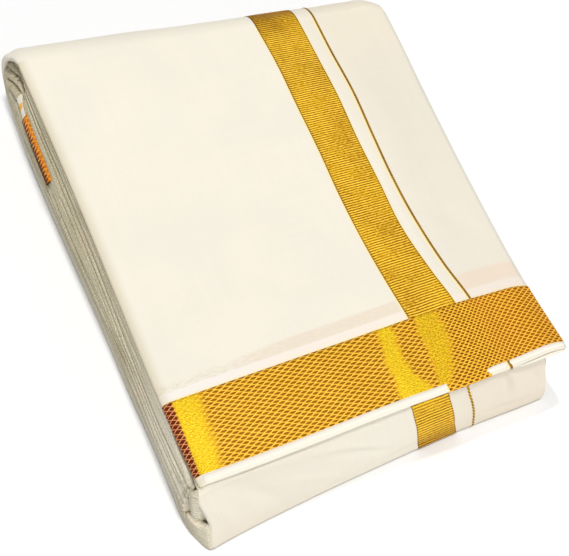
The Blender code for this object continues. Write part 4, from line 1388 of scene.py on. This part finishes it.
def build_bands():
    out = {}
    c = 8.0 + 2.0 * np.linspace(0, 1, 17)
    wrap = Wrap(c, BAND_DENSITY)
    across = arc(wrap.grid, 1)
    ends = {"top": (wrap.border[1], wrap.top_end),
            "back": (wrap.top_end, wrap.top_end + int(352 * 0.945)),
            "front": (wrap.under_end + 6, wrap.last - 10)}
    for key, (a, b) in ends.items():
        s = slice(a, b + 1)
        v = wrap.along[s]
        v = np.repeat(v[:, [8]], v.shape[1], 1)
        uv = np.stack([across[s], v], -1) * MM
        rib = rib_height(across[s], v, RIBS[key], 81)
        side = across[s] / across[s][:, -1:]
        rim = np.minimum(side, 1 - side) * 21.5
        height = 0.17 + 0.115 * rib * ease(rim / 0.6 + 0.3)
        place = wrap.grid[s]
        seam = 0.22 + 0.42 * (1.0 - side)
        shade = {"top": ease((v - v[-1] + 15.0) / 15.0) * seam,
                 "back": seam + (0.92 - seam) * ease((v - v[0]) / 14.0),
                 "front": 0.80 * ease((20.0 - place[..., 2]) / 19.0)}[key]
        out[key] = overlay("end_band_%s_weave" % key, place, wrap.normal[s], uv, height, {"rib": rib, "shade": shade,
                                                                                                "rim": rim})
    # the thin line beyond the band: a flat cord of two or three gold threads
    keys = np.linspace(0, 1, 7)
    wrap = Wrap(11.0 + 0.12 + 0.76 * keys, dict(BAND_DENSITY, stripe=44, field=540, back=236, toe=18, wall=106,
                                                brow=20, lap=14))
    across = arc(wrap.grid, 1)
    ends = {"top": (wrap.border[1], wrap.top_end),
            "back": (wrap.top_end, wrap.top_end + int(236 * 0.945)),
            "front": (wrap.under_end + 4, wrap.last - 6)}
    for key, (a, b) in ends.items():
        s = slice(a, b + 1)
        v = np.repeat(wrap.along[s][:, [3]], 7, 1)
        uv = np.stack([across[s] + 30.0, v], -1) * MM
        side = 2 * across[s] / across[s][:, -1:] - 1
        pitch = {"top": 1.25, "back": 1.25, "front": 3.1}[key]
        rib = np.cos(2 * np.pi * (v / pitch + 0.35 * side)) * (0.8 + 0.3 * noise2(v / 3.0, side, 88))
        height = 0.05 + 0.20 * np.sqrt(np.clip(1 - 0.92 * side ** 2, 0, 1)) + 0.05 * rib
        out["line_" + key] = overlay("end_line_%s_thread" % key, wrap.grid[s], wrap.normal[s], uv, height,
                                     {"rib": rib}, 0.12, 0.02)
    # its dash over the white edge of the flap
    wrap = Wrap(11.0 + 0.1 + 0.8 * keys, dict(BAND_DENSITY, stripe=4, field=6, back=4, toe=2, wall=4, brow=2, lap=2))
    s = slice(0, wrap.border[0] + 1)
    g, n = wrap.grid[s], wrap.normal[s]
    uv = np.stack([arc(wrap.grid, 1)[s], wrap.along[s]], -1) * MM
    g, n, uv = front_roll(g, n, uv, 0.85)
    rib = np.cos(2 * np.pi * uv[..., 1] / MM / 1.0)
    out["dash"] = overlay("end_line_edge_dash", g, n, uv, 0.30 + 0.04 * rib, {"rib": rib})
    return out


# ================================================================ the white edge of the flap
BARS = table("x thick", [(-90, 0.66), (-40, 0.70), (20, 0.70), (50, 0.68), (62, 0.62), (92, 0.56)])


def build_bars():
    """The woven edge is thicker than the cloth: rounded bars along the fold, cut by the gold."""
    verts, quads, tris, uvs = [], [], [], []
    ring = np.linspace(0, 2 * np.pi, 23)[:-1]
    m = len(ring)
    for x0, x1, cap0, cap1 in ((-85.2, 30.9, 1.3, 0.5), (50.2, 60.75, 4.0, 1.0), (62.05, 91.0, 0.8, 1.6)):
        far = np.concatenate([x0 + cap0 * (1 - np.cos(np.linspace(0, np.pi / 2, 7)))[:-1],
                              np.linspace(x0 + cap0, x1 - cap1, max(4, int((x1 - x0) / 0.9))),
                              x1 - cap1 * (1 - np.cos(np.linspace(np.pi / 2, 0, 7)))[1:]])
        base = len(verts)
        for x in far:
            flap, front = float(read(ACROSS, "flap_edge", x)), float(read(ACROSS, "border_front", x))
            y = 0.5 * (flap + front) - 0.05 + 0.10 * float(noise1(x / 6.0, 31))
            half = 0.5 * (front - flap) - 0.30 + 0.06 * float(noise1(x / 3.0, 32))
            thick = float(read(BARS, "thick", x)) * (1 + 0.07 * float(noise1(x / 5.0, 33)))
            cap = math.sqrt(max(0.0, 1 - (1 - min((x - x0) / cap0, 1.0)) ** 2))
            cap = max(0.04, cap * math.sqrt(max(0.0, 1 - (1 - min((x1 - x) / cap1, 1.0)) ** 2)))
            at = np.array([y, y + 0.1])
            z = float((top_height(np.array([x, x]), at) + crease_field(np.array([x, x]), at, CREASES_TOP))[0]) - 0.12
            shrink = 0.12 + 0.88 * cap
            co, si = np.cos(ring), np.sin(ring)
            ys = y + half * shrink * np.sign(co) * np.abs(co) ** 0.85
            zs = z + thick * cap * np.sign(si) * np.abs(si) ** 0.75
            verts += [(x, a, b) for a, b in zip(ys, zs)]
            uvs += [(x * MM, t * 0.0016) for t in ring]
        n = len(far)
        for k in range(n - 1):
            for i in range(m):
                j = (i + 1) % m
                a = base + k * m
                quads.append((a + i, a + j, a + m + j, a + m + i))
        for k, flip in ((0, False), (n - 1, True)):
            a = base + k * m
            for i in range(1, m - 1):
                t = (a, a + i + 1, a + i)
                tris.append(t[::-1] if flip else t)
    return make_mesh("selvedge_bars", verts, quads, {"Cloth": np.array(uvs)}, None, None, tris)


# ================================================================ plies at the front left corner
LOWER = table("s x y top", [
    (0, -94.6, -98, 9.5), (8, -95.0, -106, 10.3), (14, -95.1, -112, 11.2), (19, -94.8, -117, 11.9),
    (23, -94.1, -121, 13.4), (27.5, -92.9, -125.4, 14.0), (31.5, -91.5, -129.4, 13.8), (35, -89.9, -132.6, 15.0),
    (37.4, -88.2, -134.2, 15.4), (40, -85.8, -133.6, 15.4), (44, -82.4, -131.4, 15.0),
])
STANDING = table("s x y top", [
    (0, -89.2, -115.8, 33.5), (3, -91.2, -118.2, 34.4), (6, -92.2, -120.9, 35.8), (8, -91.8, -122.6, 37.4),
    (11, -89.6, -124.4, 39.4), (15, -85.8, -125.4, 38.6), (19, -81.8, -125.8, 39.4),
])


def corner_block(path, low, relief, steps, spacing, back, lean=(0.0, 0.0)):
    """A ply standing along a path in plan: outer face with its relief, rounded top, plain back.

    Towards the path's end it leans back, by lean (x, y) over a height of twelve millimetres.
    """
    length = path["s"][-1]
    ss = np.linspace(0, length, steps)
    x, y, top = (read(path, k, ss) for k in ("x", "y", "top"))
    tx, ty = np.gradient(x, ss), np.gradient(y, ss)
    norm = np.hypot(tx, ty)
    nx, ny = ty / norm, -tx / norm              # outward, to the left of the way forward
    high = int(round((top.max() - low) / spacing))
    grid = []
    for t in np.linspace(0, 1, high):
        z = low + (top - low) * t
        d = relief(ss, z) * np.clip((1.0 - t) / 0.14, 0.0, 1.0)
        d = d - 1.1 * np.clip((t - 0.93) / 0.07, 0, 1) ** 2 - 0.5 * np.clip(1 - t / 0.05, 0, 1) ** 2
        px, py = x + nx * d, y + ny * d
        back_by = ease((ss - 26.0) / 9.0) * np.clip((z - 5.0) / 12.3, 0.0, 1.3)
        px, py = px + lean[0] * back_by, py + lean[1] * back_by
        # where it passes behind the front wall it keeps clear of it
        behind = ease((px + 89.6) / 1.6)
        py = py + behind * np.maximum(front_y(px, z) + 1.1 - py, 0.0)
        grid.append(np.stack([px, py, z], -1))
    outer = np.array(grid).transpose(1, 0, 2)    # along the path, then upwards
    rows, cols = outer.shape[:2]
    inner = outer.copy()
    inner[..., 0] -= nx[:, None] * back
    inner[..., 1] -= ny[:, None] * back
    return outer, inner, ss


def build_corner():
    def plies(ss, z):
        edge = np.minimum((z - 0.5) % 2.35, 2.35 - (z - 0.5) % 2.35)
        d = 0.35 - 0.75 * np.exp(-(edge / 0.28) ** 2) * (0.7 + 0.3 * noise1(ss / 7.0 + np.floor(z / 2.35), 52))
        return d * (1.0 - 0.9 * ease((ss - 25.0) / 5.0)) + 0.12 * noise2(ss / 3.0, z / 0.8, 53)

    def ribs(ss, z):
        return 0.36 * np.sin(2 * np.pi * (z + 0.5 * noise1(ss / 4.0, 54)) / 2.5) * ease((ss - 5.0) / 2.0) \
            + 0.20 * noise1(ss / 5.0, 55)

    out = []
    for name, path, low, relief, back, lean in (
            ("lower", LOWER, 0.35, plies, 4.4, (1.3, 3.8)),
            ("standing", STANDING, 5.0, ribs, 1.6, (0.0, 0.0))):
        outer, inner, ss = corner_block(path, low, relief, 90, 0.33, back, lean)
        outer, inner = outer[::-1], inner[::-1]
        s2 = ss[::-1][:, None]
        n = grid_normals(outer)
        z = outer[..., 2]
        uv = np.stack([np.repeat(s2, z.shape[1], 1), z], -1) * MM
        if name == "lower":
            edge = np.minimum((z - 0.5) % 2.35, 2.35 - (z - 0.5) % 2.35)
            # painted shade along the edges of the lower plies, painted light on their faces
            dark = np.exp(-(edge / 0.35) ** 2) * (1.0 - ease((s2 - 25.0) / 5.0)) * 0.8
            light = (0.50 - 0.08 * ease((s2 - 26.0) / 5.0)) * (1 - dark)
        else:
            # painted shade low down on the standing ply and between its ribs, painted light on its face below the
            # top
            dark = ease((13.0 - z) / 3.0) * 0.8 + 0.24 * ease(np.sin(2 * np.pi * z / 2.5) * -1)
            light = (0.35 + 0.65 * ease((35.0 - z) / 5.0)) * ease((s2 - 4.5) / 1.5) * (1 - dark)
        out.append(shell("corner_ply_" + name, outer, inner, n, {"Cloth": uv}, {"groove": dark, "painted_light": light},
                         (0.0,) * 4))
    return out


# ================================================================ the folded border on the left side
def build_inner():
    y = np.linspace(67.6, 109.2, 150)
    low = np.interp(y, [67.6, 109.2], [29.2, 30.2])
    high = np.interp(y, [67.6, 109.2], [32.9, 36.5])
    t = np.linspace(0, 1, 21)
    yy = np.repeat(y[:, None], 21, 1)
    zz = low[:, None] + (high - low)[:, None] * t[None, :]
    g = side_point(-1, yy, zz)
    g[..., 0] -= 0.30 + 1.25 * (1 - t)[None, :]
    n = grid_normals(g)
    a = yy / 3.1 + (zz - low[:, None]) / 4.0
    b = yy / 3.1 - (zz - low[:, None]) / 4.0
    ta, tb = 2 * np.abs(a - np.floor(a) - 0.5), 2 * np.abs(b - np.floor(b) - 0.5)
    ridge = np.maximum(ease((ta - 0.4) / 0.5), ease((tb - 0.4) / 0.5))
    uv = np.stack([yy, zz], -1) * MM
    teeth = ease((0.62 - t[None, :] + 0.26 * np.sin(2 * np.pi * yy / 2.3)) / 0.16)
    border = overlay("inner_border_weave", g, n, uv, 0.30 + 0.12 * ridge, {
        "line_a": a, "line_b": b, "red": teeth}, 0.5)
    y = np.linspace(109.8, 123.0, 42)
    low = np.interp(y, [109.8, 123.0], [31.0, 33.2])
    high = np.interp(y, [109.8, 116, 123.0], [34.9, 35.8, 36.8])
    t = np.linspace(0, 1, 13)
    yy = np.repeat(y[:, None], 13, 1)
    zz = low[:, None] + (high - low)[:, None] * t[None, :]
    g = side_point(-1, yy, zz)
    g[..., 0] -= 0.55 * np.sqrt(np.clip(1 - (2 * t - 1) ** 2, 0, 1))[None, :]
    n = grid_normals(g)
    uv = np.stack([yy, zz], -1) * MM
    gold = ease(1.3 - np.abs((yy - 116.4) / 2.2)) * ease(1.5 - np.abs(2 * t - 1)[None, :])
    cloth = shell("inner_selvedge_cloth", g + n * 0.3, g - n * 0.5, n, {"Cloth": uv}, {"gold": gold}, (0.2,) * 4)
    return border, cloth


def selvedge_look():
    look = Look("cotton_selvedge", Roughness=0.85, Sheen_Weight=0.1, Specular_IOR_Level=0.2)
    u, v = look.cloth()
    gold = look.attr("gold")
    colour = look.mix(look.noise(u * 0.6, v * 0.8, 3.0), (0.66, 0.60, 0.48, 1.0), (0.80, 0.76, 0.66, 1.0))
    patch = gold * (look.noise(u * 0.9, v * 1.1, 5.0) * 0.7 + 0.5)
    colour = look.mix(patch.step(0.25, 0.6), colour, (0.80, 0.40, 0.04, 1.0))
    return look.finish(colour, weave(look, u, v), 0.00008, 0.6)


# ================================================================ assembly
def put(obj, mat, slot, *nodes):
    obj.data.materials.append(mat)
    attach(obj, "root")
    if nodes:
        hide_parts(*nodes)
    return obj


wrap, cloth = build_wrap()
cotton, top_cotton = cotton_look("cotton_field", "plain"), cotton_look("cotton_top_painted_shade", "top")
put(cloth["top"], top_cotton, "cotton_field", "top_panel")
put(cloth["back"], top_cotton, "cotton_field", "back_fold")
put(cloth["under"], cotton_look("cotton_underside", "under"), "cotton_field", "underside_panel")
put(cloth["front"], cotton_look("cotton_front_painted_shade", "front"), "cotton_field", "front_fold")
second = put(build_second_ply(wrap), cotton, "cotton_field", "flap_second_ply")

lattice = lattice_look()
border, patch = build_border()
put(border, lattice, "zari_border", "zari_border")
put(patch, lattice, "zari_border")
bands = build_bands()
bars = put(build_bars(), cotton_look("cotton_bars", "bar"), "cotton_field")
ribbed, thread = band_look("zari_ribbed"), band_look("zari_thread", narrow=True)
# painted light: the front band's gold drawn brighter and yellower than the band's on top
ribbed_front_painted_light = band_look("zari_ribbed_front_painted_light", tone=(1.08, 1.10, 0.70, 1.0), painted_light_tone=True)
beads = band_look("zari_beads", narrow=True, highlight_part=0.85, tone=(0.74, 0.73, 0.66, 1.0))
for key in ("top", "back", "front"):
    put(bands[key], ribbed_front_painted_light if key == "front" else ribbed, "zari_band", "end_band_" + key)
    put(bands["line_" + key], beads if key == "front" else thread, "zari_line", "end_line_" + key)
put(bands["dash"], thread, "zari_line")

layered_cotton = layers_look()
layers = put(build_layers(), layered_cotton, "folded_layers", "inner_folds")
corner = [put(piece, layered_cotton, "folded_layers") for piece in build_corner()]
inner_border, inner_edge = build_inner()
put(inner_border, inner_look(), "zari_border", "inner_border_fold")
put(inner_edge, selvedge_look(), "folded_layers", "inner_selvedge_fold")

[inner_border, inner_edge] + corner


# ================================================================ floor, camera and light
def floor():
    mesh = bpy.data.meshes.new("floor")
    mesh.from_pydata([(-3, -3, -0.0004), (3, -3, -0.0004), (3, 3, -0.0004), (-3, 3, -0.0004)], [], [(0, 1, 2, 3)])
    obj = bpy.data.objects.new("floor", mesh)
    bpy.context.scene.collection.objects.link(obj)
    look = Look("paper_white", Roughness=0.95, Specular_IOR_Level=0.1)
    look.shader.inputs["Base Color"].default_value = (0.84, 0.84, 0.84, 1.0)
    mesh.materials.append(look.mat)
    return obj


floor()

FOCAL, YAW, DOWN = 1600.0, math.radians(21.75), math.radians(56.18)
cam_data = bpy.data.cameras.new("camera")
cam = bpy.data.objects.new("camera", cam_data)
bpy.context.scene.collection.objects.link(cam)
aim = mathutils.Vector((math.sin(YAW) * math.cos(DOWN), math.cos(YAW) * math.cos(DOWN), -math.sin(DOWN)))
cam.location = (-0.16746, -0.43229, 0.6654)
cam.rotation_euler = aim.to_track_quat("-Z", "Y").to_euler()
cam_data.sensor_fit, cam_data.sensor_width = "HORIZONTAL", 36.0
cam_data.lens = 36.0 * FOCAL / 569.0
cam_data.clip_start = 0.05
bpy.context.scene.camera = cam


def light(name, azimuth, elevation, strength, angle, colour=(1.0, 1.0, 1.0)):
    """A far soft light; azimuth is where it stands, from +X towards +Y, in degrees."""
    data = bpy.data.lights.new(name, "SUN")
    data.energy, data.angle, data.color = strength, math.radians(angle), colour
    obj = bpy.data.objects.new(name, data)
    a, e = math.radians(azimuth), math.radians(elevation)
    at = mathutils.Vector((math.cos(a) * math.cos(e), math.sin(a) * math.cos(e), math.sin(e)))
    obj.rotation_euler = (-at).to_track_quat("-Z", "Y").to_euler()
    obj.location = at * 2.0
    bpy.context.scene.collection.objects.link(obj)
    return obj


light("key_high", -74.0, 78.0, 1.76, 8.0)
light("key_rear", 100.0, 83.0, 0.68, 3.0)
light("fill_front", -80.0, 13.0, 1.12, 40.0)
world = bpy.data.worlds.new("studio")
world.use_nodes = True
world.node_tree.nodes["Background"].inputs["Color"].default_value = (1.0, 1.0, 1.0, 1.0)
world.node_tree.nodes["Background"].inputs["Strength"].default_value = 0.40
bpy.context.scene.world = world
bpy.context.scene.view_settings.view_transform = "Standard"
